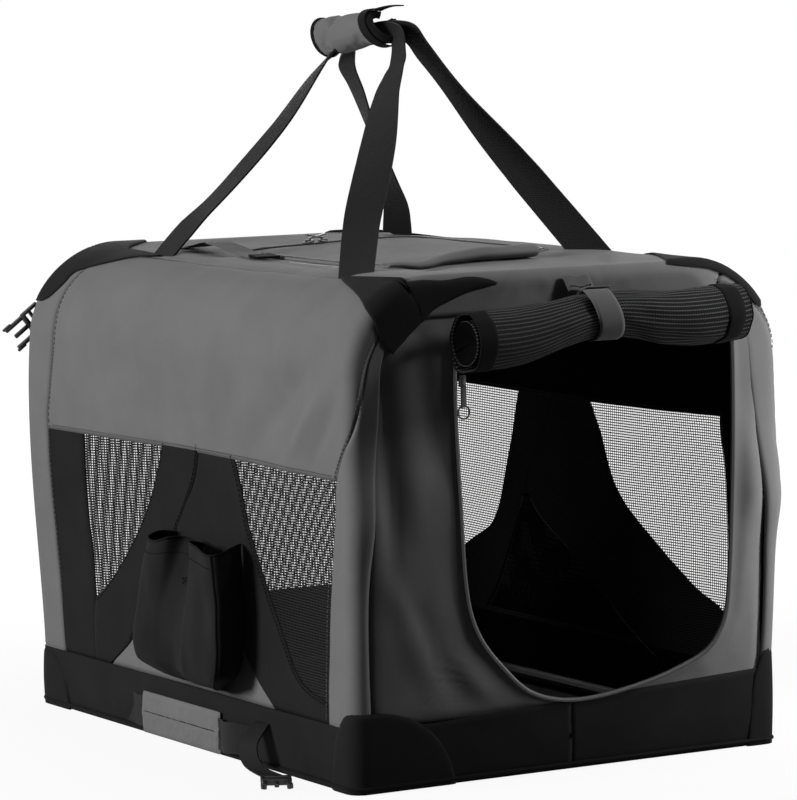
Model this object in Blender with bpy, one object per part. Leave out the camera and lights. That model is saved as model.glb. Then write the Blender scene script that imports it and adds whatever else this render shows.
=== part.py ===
"""Soft folding dog crate: steel frame with folding hoops, fabric walls, net windows and carry handles.

Metres, +Z up. The door faces -Y, the pocket and the bottom grab handle are on the -X side, and the
origin is the middle of the underside. Front and rear hoops fold inward at knees half way up, and
the roof with its rails comes straight down between them.
"""
import math

import bmesh
import bpy
from mathutils import Vector

# Overall size of the fabric body
body_width = 0.52
body_length = 0.70
body_height = 0.52

# Fabric, tube and fits
fabric_thickness = 0.0016
fit_gap = 0.0003
tube_diameter = 0.016
socket_wall = 0.0029
hoop_corner_radius = 0.085
overrun = 0.004

tube_radius = tube_diameter / 2
bore_radius = tube_radius + fit_gap
socket_radius = bore_radius + socket_wall
skin_inner = socket_radius + fit_gap
skin_outer = skin_inner + fabric_thickness
leg_x = body_width / 2 - skin_outer
hoop_y = body_length / 2 - skin_outer
top_bar_z = body_height - skin_outer
base_bar_z = fabric_thickness + fit_gap + socket_radius
corner_x = leg_x - hoop_corner_radius
corner_z = top_bar_z - hoop_corner_radius

# Hinges of the folding frame
leg_clearance = 0.0022
knee_fold_clearance = 0.0006
foot_pivot_z = base_bar_z + socket_radius + tube_radius + leg_clearance
knee_z = (foot_pivot_z + top_bar_z) / 2
knee_offset = skin_outer + knee_fold_clearance
knee_y = hoop_y + knee_offset
ear_thickness = 0.0044
tongue_thickness = 0.0056
pin_diameter = 0.0044
knee_eye_radius = 0.005
knee_block_half = 0.008
knee_block_start = 0.010
knee_block_height = 0.014
knee_socket_length = 0.030
knee_tube_stop = 0.0025
knee_relief_depth = 0.0113
knee_relief_inward = 0.0045
foot_ear_radius = 0.0065
foot_ear_half = 0.008
foot_lug_radius = 0.0053
foot_lug_half = 0.005
foot_tube_start = 0.0095
foot_lug_depth = 0.006
foot_socket_length = 0.045
foot_socket_stop = 0.014
foot_core_inset = 0.0007
rail_x = 0.125
rail_eye_length = 0.030
slot_half = tongue_thickness / 2 + fit_gap
ear_half = slot_half + ear_thickness
pin_radius = pin_diameter / 2
pin_hole_radius = pin_radius + fit_gap

# Base
skirt_height = 0.072
floor_board_thickness = 0.004
floor_board_inset = 0.0015
floor_board_corner = 0.012
boot_height = 0.105
boot_reach = 0.052
boot_thickness = 0.0016

# Wall panels
grey_edge_z = 0.316
roof_seam_x = 0.185
fold_line_gap = 0.0008
door_left_margin = 0.118
door_right_margin = 0.064
door_centre_x = (door_left_margin - door_right_margin) / 2
door_half_width = (body_width - door_left_margin - door_right_margin) / 2
door_bottom_z = 0.081
door_top_z = 0.445
door_bottom_radius = 0.090
door_top_radius = 0.020

# Side windows, from the middle of the side along Y, and their nets
window_top_z = 0.310
window_bottom_z = 0.086
rear_window_inner_y = 0.058
rear_window_outer_y = 0.227
rear_window_tip_y = 0.214
rear_window_tip_z = 0.124
front_window_inner_y = -0.103
front_window_outer_y = -0.311
front_window_corner_y = -0.303
front_window_foot_y = -0.262
right_window_shift = 0.055
net_thickness = 0.0012
net_pitch = 0.0215
net_bar = 0.0035
net_hem = 0.010

# Window of the rear wall, and its coarser net
back_window_half = 0.205
back_window_bottom_z = 0.102
back_window_top_z = 0.430
back_window_corner = 0.024
back_net_pitch = 0.031

# Pocket on the left side
pocket_centre_y = -0.034
pocket_width = 0.180
pocket_bottom_z = 0.057
pocket_top_z = 0.214
pocket_depth = 0.037
pocket_corner = 0.045
pocket_taper = 0.010
pocket_wall = 0.0022

# Rolled mesh door over the opening and its tie strap
door_roll_radius = 0.031
door_roll_core = 0.0085
door_roll_turns = 3
door_roll_sheet = 0.0026
door_roll_left_x = -0.166
door_roll_right_x = 0.206
door_roll_z = 0.456
tie_thickness = 0.0015
tie_width = 0.038
tie_x = 0.012

# Door zip slider and its pull
slider_length = 0.012
slider_width = 0.008
slider_height = 0.003
door_slider_z = 0.412
door_zip_x = door_centre_x - door_half_width - slider_width
pull_length = 0.026
pull_ring_radius = 0.0065
pull_thickness = 0.0014
pull_bar_half = 0.0018

# Roof hatch, its rolled cover, zip sliders and the tie strap that lies on the roof
hatch_half_width = 0.108
hatch_front_y = -0.165
hatch_rear_y = 0.155
hatch_corner = 0.045
hatch_lap = 0.008
cover_roll_radius = 0.014
cover_roll_core = 0.004
cover_roll_turns = 2
cover_roll_sheet = 0.0020
cover_roll_left_x = -0.075
cover_roll_right_x = 0.070
cover_roll_y = -0.192
roof_slider_gap = 0.010
roof_slider_offset = 0.006
roof_slider_x = 0.0
roof_tie_x = -0.137
roof_tie_rear_y = 0.245
roof_tie_front_y = 0.045
roof_tie_width = 0.030

# Carry handle: two webbing loops and the padded grip round both
webbing_width = 0.038
webbing_thickness = 0.0024
strap_base_x = 0.170
strap_front_y = -0.205
strap_rear_y = 0.205
strap_top_x = 0.009
strap_top_z = 0.755
gathered_width = 0.020
grip_front_y = -0.048
grip_rear_y = 0.102
grip_z = 0.757
grip_padding = 0.006
grip_mouth_high_deg = 56.0
grip_mouth_low_deg = -45.0

# Grab handle low on the left side
side_sleeve_front_y = -0.080
side_sleeve_rear_y = 0.094
side_sleeve_bottom_z = 0.001
side_sleeve_top_z = 0.048
side_sleeve_thickness = 0.007
side_web_front_y = -0.168
side_web_rear_y = 0.150
side_web_thickness = 0.002
side_web_width = 0.030

# Closing straps with side-release buckles: one on the floor, one at the rear of the roof
closing_web_width = 0.025
closing_web_thickness = 0.0016
buckle_length = 0.050
buckle_width = 0.032
buckle_thickness = 0.010
buckle_prong_gap = 0.005
buckle_prong_depth = 0.020
floor_strap_inset = 0.145
floor_strap_length = 0.052
floor_strap_turn_deg = 62.0
rear_strap_inset = 0.088
rear_strap_top_z = 0.509
rear_strap_length = 0.088
rear_strap_turn_deg = 48.0

# Facets of round shapes
tube_sides = 12
socket_sides = 16
pin_sides = 12
strap_ring_sides = 24
roll_steps = 14
corner_steps = 6
roof_steps = 2
hem_steps = 4
round_steps = 6
smooth_angle = math.radians(35)

# Finishes: colour, roughness, metallic
grey_fabric = ((0.125, 0.125, 0.127), 0.9, 0.0)
black_fabric = ((0.016, 0.016, 0.017), 0.9, 0.0)
black_webbing = ((0.012, 0.012, 0.013), 0.8, 0.0)
black_net = ((0.020, 0.020, 0.022), 0.85, 0.0)
black_plastic = ((0.014, 0.014, 0.015), 0.45, 0.0)
grey_board = ((0.20, 0.20, 0.21), 0.7, 0.0)
coated_steel = ((0.10, 0.10, 0.11), 0.35, 0.8)
zinc_zip = ((0.16, 0.16, 0.17), 0.4, 0.9)

sides = {"left": -1, "right": 1}
ends = {"front": -1, "rear": 1}


def clear_scene():
    """Remove what the scene holds."""
    for old in list(bpy.data.objects):
        bpy.data.objects.remove(old, do_unlink=True)


def joint_empty(name, place):
    """An empty on a joint's axis, which carries the pieces that turn about it."""
    empty = bpy.data.objects.new(name + "_joint", None)
    empty.location = place
    bpy.context.scene.collection.objects.link(empty)
    return empty


def add_piece(name, bm, finish, carrier):
    """Turn world-space geometry into a named object on its carrier, with its own material."""
    place = carrier.location.copy()
    bmesh.ops.translate(bm, verts=bm.verts, vec=-place)
    bmesh.ops.recalc_face_normals(bm, faces=bm.faces)
    mesh = bpy.data.meshes.new(name)
    bm.to_mesh(mesh)
    bm.free()
    mesh.shade_smooth()
    mesh.set_sharp_from_angle(angle=smooth_angle)
    colour, roughness, metallic = finish
    material = bpy.data.materials.new(name)
    material.use_nodes = True
    shader = material.node_tree.nodes["Principled BSDF"]
    shader.inputs["Base Color"].default_value = (*colour, 1.0)
    shader.inputs["Roughness"].default_value = roughness
    shader.inputs["Metallic"].default_value = metallic
    mesh.materials.append(material)
    piece = bpy.data.objects.new(name, mesh)
    piece.parent = carrier
    bpy.context.scene.collection.objects.link(piece)
    return piece


def add_tool(name, bm):
    """A hidden solid that a Boolean modifier reads."""
    bmesh.ops.recalc_face_normals(bm, faces=bm.faces)
    mesh = bpy.data.meshes.new(name)
    bm.to_mesh(mesh)
    bm.free()
    tool = bpy.data.objects.new(name, mesh)
    tool.hide_render = True
    tool.display_type = "WIRE"
    bpy.context.scene.collection.objects.link(tool)
    return tool


def combine(piece, tool, operation):
    """Join a tool to a piece or cut it out."""
    change = piece.modifiers.new(tool.name, "BOOLEAN")
    change.operation = operation
    change.object = tool
    change.solver = "EXACT"


def loft(loops, ring=False):
    """A closed solid through loops with the same number of points; a ring joins last to first."""
    bm = bmesh.new()
    rows = [[bm.verts.new(point) for point in loop] for loop in loops]
    pairs = list(zip(rows, rows[1:]))
    if ring:
        pairs.append((rows[-1], rows[0]))
    for low, high in pairs:
        for index in range(len(low)):
            following = (index + 1) % len(low)
            bm.faces.new((low[index], low[following], high[following], high[index]))
    if not ring:
        bm.faces.new(list(reversed(rows[0])))
        bm.faces.new(rows[-1])
    return bm


def extrude(outline, place, near, far):
    """Extrude a flat outline; place(a, b, depth) gives the point in space."""
    return loft([[place(a, b, depth) for a, b in outline] for depth in (near, far)])


def hull(points):
    """The convex solid round some points."""
    bm = bmesh.new()
    for point in points:
        bm.verts.new(point)
    result = bmesh.ops.convex_hull(bm, input=bm.verts)
    spare = [part for part in result["geom_interior"] if isinstance(part, bmesh.types.BMVert)]
    bmesh.ops.delete(bm, geom=list(set(spare)), context="VERTS")
    return bm


def circle(radius, steps):
    """Points round a circle about the origin."""
    turns = [2 * math.pi * step / steps for step in range(steps)]
    return [(radius * math.cos(turn), radius * math.sin(turn)) for turn in turns]


def arc(centre, radius, start_deg, stop_deg, steps):
    """Points along an arc from one angle to another."""
    points = []
    for step in range(steps + 1):
        turn = math.radians(start_deg + (stop_deg - start_deg) * step / steps)
        points.append((centre[0] + radius * math.cos(turn), centre[1] + radius * math.sin(turn)))
    return points


def rounded_rectangle(low_a, high_a, low_b, high_b, low_radius, high_radius):
    """A rectangle with one corner radius at its low side in b and another at its high side."""
    points = arc((low_a + low_radius, low_b + low_radius), low_radius, 180, 270, round_steps)
    points += arc((high_a - low_radius, low_b + low_radius), low_radius, 270, 360, round_steps)
    points += arc((high_a - high_radius, high_b - high_radius), high_radius, 0, 90, round_steps)
    points += arc((low_a + high_radius, high_b - high_radius), high_radius, 90, 180, round_steps)
    return points


def box(low, high):
    """A box between two corners."""
    return hull([(x, y, z) for x in (low[0], high[0]) for y in (low[1], high[1])
                 for z in (low[2], high[2])])


def cylinder(start, stop, radius, steps):
    """A cylinder between two points on a line along X, Y or Z."""
    start, stop = Vector(start), Vector(stop)
    along = (stop - start).normalized()
    across = along.orthogonal().normalized()
    other = along.cross(across)
    ring = circle(radius, steps)
    return loft([[end + across * a + other * b for a, b in ring] for end in (start, stop)])


def pipe(route, radius, steps):
    """A round bar along a route in a plane of constant Y."""
    sideways = Vector((0, 1, 0))
    loops = []
    for index, point in enumerate(route):
        before = route[max(index - 1, 0)]
        after = route[min(index + 1, len(route) - 1)]
        along = (Vector(after) - Vector(before)).normalized()
        up = along.cross(sideways)
        loops.append([Vector(point) + up * a + sideways * b for a, b in circle(radius, steps)])
    return loft(loops)


def spiral(radius, core, turns, sheet):
    """Outline of a sheet rolled up from its core, in a plane across the roll."""
    steps = turns * roll_steps
    outer, inner = [], []
    for step in range(steps + 1):
        turn = 2 * math.pi * turns * step / steps
        reach = core + (radius - core) * step / steps
        outer.append((reach * math.cos(turn), reach * math.sin(turn)))
        inner.append(((reach - sheet) * math.cos(turn), (reach - sheet) * math.sin(turn)))
    return outer + list(reversed(inner))


def tub_corner_loop(half_x, half_y, radius, z):
    """A rounded rectangle at one height."""
    flat = rounded_rectangle(-half_x, half_x, -half_y, half_y, radius, radius)
    return [(x, y, z) for x, y in flat]


def build_base(base):
    """Fabric tub, board, tubes with moulded corner joints, and sewn corner boots."""
    half_x, half_y = body_width / 2, body_length / 2
    inner_x, inner_y = half_x - fabric_thickness, half_y - fabric_thickness
    add_piece("base_tub", loft([
        tub_corner_loop(half_x, half_y, skin_outer, 0),
        tub_corner_loop(half_x, half_y, skin_outer, skirt_height),
        tub_corner_loop(inner_x, inner_y, skin_inner, skirt_height),
        tub_corner_loop(inner_x, inner_y, skin_inner, fabric_thickness),
    ]), black_fabric, base)

    board_x = leg_x - socket_radius - floor_board_inset
    board_y = hoop_y - socket_radius - floor_board_inset
    board_z = fabric_thickness + fit_gap
    add_piece("floor_board", loft([
        tub_corner_loop(board_x, board_y, floor_board_corner, board_z),
        tub_corner_loop(board_x, board_y, floor_board_corner, board_z + floor_board_thickness),
    ]), grey_board, base)

    bar_end = foot_socket_stop + fit_gap
    for end_name, end in ends.items():
        reach = leg_x - bar_end
        bar = cylinder((-reach, end * hoop_y, base_bar_z), (reach, end * hoop_y, base_bar_z),
                       tube_radius, tube_sides)
        add_piece("base_bar_" + end_name, bar, coated_steel, base)
    for side_name, side in sides.items():
        reach = hoop_y - bar_end
        bar = cylinder((side * leg_x, -reach, base_bar_z), (side * leg_x, reach, base_bar_z),
                       tube_radius, tube_sides)
        add_piece("base_bar_" + side_name, bar, coated_steel, base)
        for end_name, end in ends.items():
            build_corner_joint(end_name + "_" + side_name, end, side, base)
            build_boot(end_name + "_" + side_name, end, side, base)


def build_corner_joint(label, end, side, base):
    """Moulded joint at a corner of the base: two tube sockets and the ears of a leg's hinge."""
    x, y, z = side * leg_x, end * hoop_y, base_bar_z
    core = socket_radius - foot_core_inset
    joint = add_piece("corner_joint_" + label,
                      cylinder((x, y, z - core), (x, y, z + core), core, socket_sides),
                      black_plastic, base)
    along_x = add_tool("socket_x_" + label, cylinder(
        (x, y, z), (x - side * foot_socket_length, y, z), socket_radius, socket_sides))
    along_y = add_tool("socket_y_" + label, cylinder(
        (x, y, z), (x, y - end * foot_socket_length, z), socket_radius, socket_sides))
    ear_points = []
    for dx in (-ear_half, ear_half):
        ear_points += [(x + dx, y + a, foot_pivot_z + b) for a, b in circle(foot_ear_radius, pin_sides)]
        ear_points += [(x + dx, y + a, z) for a in (-foot_ear_half, foot_ear_half)]
    ears = add_tool("ears_" + label, hull(ear_points))
    for added in (along_x, along_y, ears):
        combine(joint, added, "UNION")

    far = foot_socket_length + overrun
    bore_x = add_tool("bore_x_" + label, cylinder(
        (x - side * foot_socket_stop, y, z), (x - side * far, y, z), bore_radius, socket_sides))
    bore_y = add_tool("bore_y_" + label, cylinder(
        (x, y - end * foot_socket_stop, z), (x, y - end * far, z), bore_radius, socket_sides))
    slot_floor = foot_pivot_z - foot_lug_radius - fit_gap
    slot_reach = foot_ear_half + overrun
    slot = add_tool("slot_" + label, box(
        (x - slot_half, y - slot_reach, slot_floor),
        (x + slot_half, y + slot_reach, foot_pivot_z + foot_ear_radius + overrun)))
    hole_reach = ear_half + overrun
    hole = add_tool("hole_" + label, cylinder(
        (x - hole_reach, y, foot_pivot_z), (x + hole_reach, y, foot_pivot_z), pin_hole_radius,
        pin_sides))
    for cut in (bore_x, bore_y, slot, hole):
        combine(joint, cut, "DIFFERENCE")


def build_boot(label, end, side, base):
    """Reinforcing boot sewn round a corner of the tub, highest at the corner itself."""
    rows = []
    near = skin_outer + fit_gap
    far = near + boot_thickness
    centre_x, centre_y = side * leg_x, end * hoop_y
    stations = [(1.0, 0.0, boot_reach), (1.0, 0.0, 0.0)]
    for step in range(1, corner_steps):
        turn = math.pi / 2 * step / corner_steps
        stations.append((math.cos(turn), math.sin(turn), 0.0))
    stations += [(0.0, 1.0, 0.0), (0.0, 1.0, boot_reach)]
    for out_x, out_y, back in stations:
        on_corner = back == 0
        top = boot_height if on_corner else skirt_height
        shift_x = -side * back if out_x == 0 else 0
        shift_y = -end * back if out_y == 0 else 0
        row = []
        for reach, z in ((near, 0), (far, 0), (far, top), (near, top)):
            row.append((centre_x + side * out_x * reach + shift_x,
                        centre_y + end * out_y * reach + shift_y, z))
        rows.append(row)
    add_piece("corner_boot_" + label, loft(rows), black_fabric, base)


def knee_place(end, side, across, inward, up):
    """A point by its distances from a knee's pin: along X, towards the inside, and up."""
    return (side * leg_x + across, end * (knee_y - inward), knee_z + up)


def knee_body(end, side, half, sense, offset):
    """Eye round the knee's pin, joined to a block on the tube's line; sense is +1 above, -1 below."""
    points = []
    for across in (-half, half):
        points += [knee_place(end, side, across, a, b)
                   for a, b in circle(knee_eye_radius, pin_sides)]
        for inward in (offset - knee_block_half, offset + knee_block_half):
            for up in (knee_block_start, knee_block_start + knee_block_height):
                points.append(knee_place(end, side, across, inward, sense * up))
    return hull(points)


def build_knee_half(name, end, side, sense, carrier):
    """One half of a knee: a tube socket with ears below the pin, or with a tongue and pin above."""
    lower = sense < 0
    half = ear_half if lower else tongue_thickness / 2
    knee = add_piece(name, knee_body(end, side, half, sense, knee_offset), black_plastic, carrier)

    def on_tube(up):
        return knee_place(end, side, 0, knee_offset, sense * up)

    socket_end = knee_block_start + knee_socket_length
    socket = add_tool(name + "_socket", cylinder(
        on_tube(knee_block_start), on_tube(socket_end), socket_radius, socket_sides))
    combine(knee, socket, "UNION")
    bore = add_tool(name + "_bore", cylinder(
        on_tube(knee_block_start + knee_tube_stop), on_tube(socket_end + overrun), bore_radius,
        socket_sides))
    combine(knee, bore, "DIFFERENCE")
    if lower:
        slot_depth = knee_eye_radius + fit_gap
        slot = add_tool(name + "_slot", box(
            knee_place(end, side, -slot_half, -knee_block_start, -slot_depth),
            knee_place(end, side, slot_half, knee_offset + socket_radius, knee_block_start)))
        relief = add_tool(name + "_relief", box(
            knee_place(end, side, -slot_half, -knee_block_start, -knee_relief_depth),
            knee_place(end, side, slot_half, knee_relief_inward, 0)))
        reach = ear_half + overrun
        hole = add_tool(name + "_hole", cylinder(
            knee_place(end, side, -reach, 0, 0), knee_place(end, side, reach, 0, 0),
            pin_hole_radius, pin_sides))
        combine(knee, slot, "DIFFERENCE")
        combine(knee, relief, "DIFFERENCE")
        combine(knee, hole, "DIFFERENCE")
    else:
        pin = add_tool(name + "_pin", cylinder(
            knee_place(end, side, -ear_half, 0, 0), knee_place(end, side, ear_half, 0, 0),
            pin_radius, pin_sides))
        combine(knee, pin, "UNION")


def build_leg(name, end, side, carrier):
    """Lower leg: a tube whose flattened foot holds the cross pin of the base hinge."""
    x, y = side * leg_x, end * hoop_y
    low = foot_pivot_z + foot_tube_start
    high = knee_z - knee_block_start - knee_tube_stop - fit_gap
    leg = add_piece(name, cylinder((x, y, low), (x, y, high), tube_radius, tube_sides),
                    coated_steel, carrier)
    points = []
    for dx in (-tongue_thickness / 2, tongue_thickness / 2):
        points += [(x + dx, y + a, foot_pivot_z + b) for a, b in circle(foot_lug_radius, pin_sides)]
        points += [(x + dx, y + a, low + foot_lug_depth) for a in (-foot_lug_half, foot_lug_half)]
    lug = add_tool(name + "_lug", hull(points))
    pin = add_tool(name + "_pin", cylinder(
        (x - ear_half, y, foot_pivot_z), (x + ear_half, y, foot_pivot_z), pin_radius, pin_sides))
    combine(leg, lug, "UNION")
    combine(leg, pin, "UNION")


def build_arch(name, end, carrier):
    """Upper half of a hoop: two legs, two bends and the top bar in one bent tube."""
    start_z = knee_z + knee_block_start + knee_tube_stop + fit_gap
    flat = [(-leg_x, start_z)]
    flat += arc((-corner_x, corner_z), hoop_corner_radius, 180, 90, corner_steps)
    flat += arc((corner_x, corner_z), hoop_corner_radius, 90, 0, corner_steps)
    flat.append((leg_x, start_z))
    route = [(x, end * hoop_y, z) for x, z in flat]
    add_piece(name, pipe(route, tube_radius, tube_sides), coated_steel, carrier)


def build_rails(top):
    """Two rails along the roof, each with an eye that turns on the hoops' top bars."""
    for side_name, side in sides.items():
        x = side * rail_x
        rail = add_piece("roof_rail_" + side_name, cylinder(
            (x, -hoop_y, top_bar_z), (x, hoop_y, top_bar_z), tube_radius, tube_sides),
            coated_steel, top)
        for end_name, end in ends.items():
            label = end_name + "_" + side_name
            half = rail_eye_length / 2
            eye = add_tool("rail_eye_" + label, cylinder(
                (x - half, end * hoop_y, top_bar_z), (x + half, end * hoop_y, top_bar_z),
                socket_radius, socket_sides))
            far = half + overrun
            bore = add_tool("rail_bore_" + label, cylinder(
                (x - far, end * hoop_y, top_bar_z), (x + far, end * hoop_y, top_bar_z),
                bore_radius, socket_sides))
            combine(rail, eye, "UNION")
            combine(rail, bore, "DIFFERENCE")


def panel_outline(lower):
    """Flat outline of a front or rear panel's half, whose edges follow the hoop's centre line."""
    edge = leg_x - fit_gap
    if lower:
        low, high = skirt_height + fit_gap, knee_z - fold_line_gap
        return [(-edge, low), (edge, low), (edge, high), (-edge, high)]
    low = knee_z + fold_line_gap
    radius = hoop_corner_radius - fit_gap
    seam_deg = math.degrees(seam_turn())
    bend = arc((corner_x, corner_z), radius, 0, seam_deg, corner_steps)
    bend += arc((corner_x, corner_z), radius, seam_deg, 90, roof_steps)[1:]
    return [(-edge, low), (edge, low)] + bend + [(-x, z) for x, z in reversed(bend)]


def knee_notch(end, side, label):
    """Room for a knee's ears where they pass through the fabric."""
    half_x = ear_half + fit_gap
    up = knee_block_start + knee_block_height
    return add_tool("knee_room_" + label, box(
        knee_place(end, side, -half_x, -knee_eye_radius - overrun, -up),
        knee_place(end, side, half_x, knee_offset, up)))


def build_end_panel(name, end, lower, has_door, carrier):
    """Half of the front or rear wall, carried by its half of the hoop."""
    outer, inner = end * body_length / 2, end * (body_length / 2 - fabric_thickness)
    panel = add_piece(name, extrude(panel_outline(lower), lambda a, b, y: (a, y, b), outer, inner),
                      grey_fabric, carrier)
    for side_name, side in sides.items():
        combine(panel, knee_notch(end, side, name + "_" + side_name), "DIFFERENCE")
    if has_door:
        opening = rounded_rectangle(
            door_centre_x - door_half_width, door_centre_x + door_half_width, door_bottom_z,
            door_top_z, door_bottom_radius, door_top_radius)
    else:
        opening = back_window_outline()
    cutter = add_tool(name + "_opening", extrude(
        opening, lambda a, b, y: (a, y, b), outer + end * overrun, inner - end * overrun))
    combine(panel, cutter, "DIFFERENCE")
    if not has_door:
        add_back_net(panel, name, lower)


def back_window_outline():
    """The window of the rear wall, as points in X and Z."""
    corner = back_window_corner
    return rounded_rectangle(-back_window_half, back_window_half, back_window_bottom_z,
                             back_window_top_z, corner, corner)


def add_back_net(panel, name, lower):
    """The rear window's net, sewn into its half of the wall, with which it folds."""
    half = back_window_half
    columns = [-half - net_hem] + net_lines(-half, half, back_net_pitch) + [half + net_hem]
    if lower:
        start, fold = back_window_bottom_z, knee_z - fold_line_gap
        rows = [start - net_hem] + net_lines(start, fold, back_net_pitch) + [fold]
    else:
        fold, stop = knee_z + fold_line_gap, back_window_top_z
        rows = [fold] + net_lines(fold, stop, back_net_pitch) + [stop + net_hem]
    outline = back_window_outline()
    outer = body_length / 2 - (fabric_thickness - net_thickness) / 2
    bm, gaps = net_sheet(columns, rows, lambda point: inside(outline, point),
                         lambda a, b, depth: (a, outer - depth, b))
    print("net gaps", name, gaps)
    combine(panel, add_tool(name + "_net", bm), "UNION")


def skin_section(point, normal):
    """Section of a wall along Y, with hems that turn round the front and rear hoops."""
    rows = []
    for reach in (skin_outer, skin_inner):
        row = []
        for step in range(hem_steps + 1):
            turn = math.pi / 2 * (1 - step / hem_steps)
            row.append((reach * math.cos(turn), -hoop_y - reach * math.sin(turn)))
        for step in range(hem_steps + 1):
            turn = math.pi / 2 * step / hem_steps
            row.append((reach * math.cos(turn), hoop_y + reach * math.sin(turn)))
        rows.append(row)
    flat = rows[0] + list(reversed(rows[1]))
    return [(point[0] + normal[0] * out, y, point[1] + normal[1] * out) for out, y in flat]


def seam_turn():
    """Angle on the hoop's bend where the roof meets the side walls."""
    return math.acos((roof_seam_x - corner_x) / (hoop_corner_radius + skin_outer))


def bend_station(side, turn):
    """Point and outward direction on the hoop's bend."""
    out = (side * math.cos(turn), math.sin(turn))
    point = (side * corner_x + hoop_corner_radius * out[0], corner_z + hoop_corner_radius * out[1])
    return point, out


def build_roof(top):
    """Roof panel with the hatch opening cut through it."""
    gap_turn = fit_gap / (hoop_corner_radius + skin_outer)
    start = seam_turn() + gap_turn
    turns = [start + (math.pi / 2 - start) * step / roof_steps for step in range(roof_steps + 1)]
    stations = [bend_station(-1, turn) for turn in turns]
    stations += [bend_station(1, turn) for turn in reversed(turns)]
    roof = add_piece("roof_panel", loft([skin_section(point, out) for point, out in stations]),
                     grey_fabric, top)
    opening = rounded_rectangle(
        -hatch_half_width + hatch_lap, hatch_half_width - hatch_lap, hatch_front_y + hatch_lap,
        hatch_rear_y - hatch_lap, hatch_corner - hatch_lap, hatch_corner - hatch_lap)
    cutter = add_tool("hatch_opening", extrude(
        opening, lambda a, b, z: (a, b, z), body_height - skin_outer, body_height + overrun))
    combine(roof, cutter, "DIFFERENCE")


def window_outlines(shift):
    """The two windows of a side wall, rear then front, as points in Y and Z, moved along Y."""
    rise = window_top_z - rear_window_tip_z
    run = rear_window_tip_y - rear_window_inner_y
    rear_curve_shares = ((0.0, 1.0), (0.06, 0.82), (0.20, 0.60), (0.42, 0.36), (0.70, 0.15),
                         (1.0, 0.0))
    rear = [(rear_window_inner_y + run * a, rear_window_tip_z + rise * b)
            for a, b in rear_curve_shares]
    rear.append((rear_window_outer_y, window_top_z))
    rise = window_top_z - window_bottom_z
    run = front_window_foot_y - front_window_inner_y
    front_curve_shares = ((0.0, 1.0), (0.16, 0.76), (0.36, 0.50), (0.58, 0.26), (0.80, 0.10),
                          (1.0, 0.0))
    front = [(front_window_inner_y + run * a, window_bottom_z + rise * b)
             for a, b in front_curve_shares]
    front += [(front_window_corner_y, window_bottom_z), (front_window_outer_y, window_top_z)]
    return [[(y + shift, z) for y, z in outline] for outline in (rear, front)]


def inside(outline, point):
    """Whether a point lies in an outline."""
    hits = 0
    for (a0, b0), (a1, b1) in zip(outline, outline[1:] + outline[:1]):
        if (b0 > point[1]) != (b1 > point[1]):
            if point[0] < a0 + (a1 - a0) * (point[1] - b0) / (b1 - b0):
                hits += 1
    return hits % 2 == 1


def build_side(side_name, side, base):
    """A side wall: grey upper part over the hoop's bend, black lower part with windows, and net."""
    gap_turn = fit_gap / (hoop_corner_radius + skin_outer)
    start = ((side * leg_x, grey_edge_z + fit_gap), (side, 0))
    stations = [start]
    last = seam_turn() - gap_turn
    stations += [bend_station(side, last * step / corner_steps) for step in range(corner_steps + 1)]
    add_piece("side_upper_" + side_name, loft([skin_section(point, out) for point, out in stations]),
              grey_fabric, base)

    low = ((side * leg_x, skirt_height + fit_gap), (side, 0))
    high = ((side * leg_x, grey_edge_z), (side, 0))
    lower = add_piece("side_lower_" + side_name, loft([skin_section(*low), skin_section(*high)]),
                      black_fabric, base)
    outer, inner = body_width / 2 + overrun, body_width / 2 - fabric_thickness - overrun
    shift = right_window_shift if side > 0 else 0
    for index, outline in enumerate(window_outlines(shift)):
        cutter = add_tool("window_%s_%d" % (side_name, index), extrude(
            outline, lambda a, b, x: (side * x, a, b), outer, inner))
        combine(lower, cutter, "DIFFERENCE")
    for end_name, end in ends.items():
        combine(lower, knee_notch(end, side, "side_%s_%s" % (end_name, side_name)), "DIFFERENCE")
    build_net(side_name, side, shift, base)


def net_lines(low, high, pitch):
    """Edges of the bars across a stretch of net: each gap starts and ends at a line."""
    count = max(1, round((high - low) / pitch))
    lines = []
    for index in range(count):
        start = low + (high - low) * index / count
        stop = low + (high - low) * (index + 1) / count
        lines += [start + net_bar / 2, stop - net_bar / 2]
    return lines


def net_sheet(columns, rows, shown, place):
    """A flat net between lines, with a gap in each cell that shows; gives it and its gap count."""
    bm = bmesh.new()
    grids = [[[bm.verts.new(place(a, b, depth)) for b in rows] for a in columns]
             for depth in (0, net_thickness)]
    filled = {}
    for i in range(len(columns) - 1):
        for j in range(len(rows) - 1):
            middle = ((columns[i] + columns[i + 1]) / 2, (rows[j] + rows[j + 1]) / 2)
            in_gap = columns[i + 1] - columns[i] > net_bar + fit_gap
            in_gap = in_gap and rows[j + 1] - rows[j] > net_bar + fit_gap
            filled[i, j] = not (in_gap and shown(middle))
    for (i, j), whole in filled.items():
        if not whole:
            continue
        for grid in grids:
            bm.faces.new((grid[i][j], grid[i + 1][j], grid[i + 1][j + 1], grid[i][j + 1]))
        borders = (((i, j), (i + 1, j), (i, j - 1)), ((i, j + 1), (i + 1, j + 1), (i, j + 1)),
                   ((i, j), (i, j + 1), (i - 1, j)), ((i + 1, j), (i + 1, j + 1), (i + 1, j)))
        for (a, b), (c, d), neighbour in borders:
            if not filled.get(neighbour, False):
                bm.faces.new((grids[0][a][b], grids[0][c][d], grids[1][c][d], grids[1][a][b]))
    loose = [vert for vert in bm.verts if not vert.link_faces]
    bmesh.ops.delete(bm, geom=loose, context="VERTS")
    return bm, sum(not whole for whole in filled.values())


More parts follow.
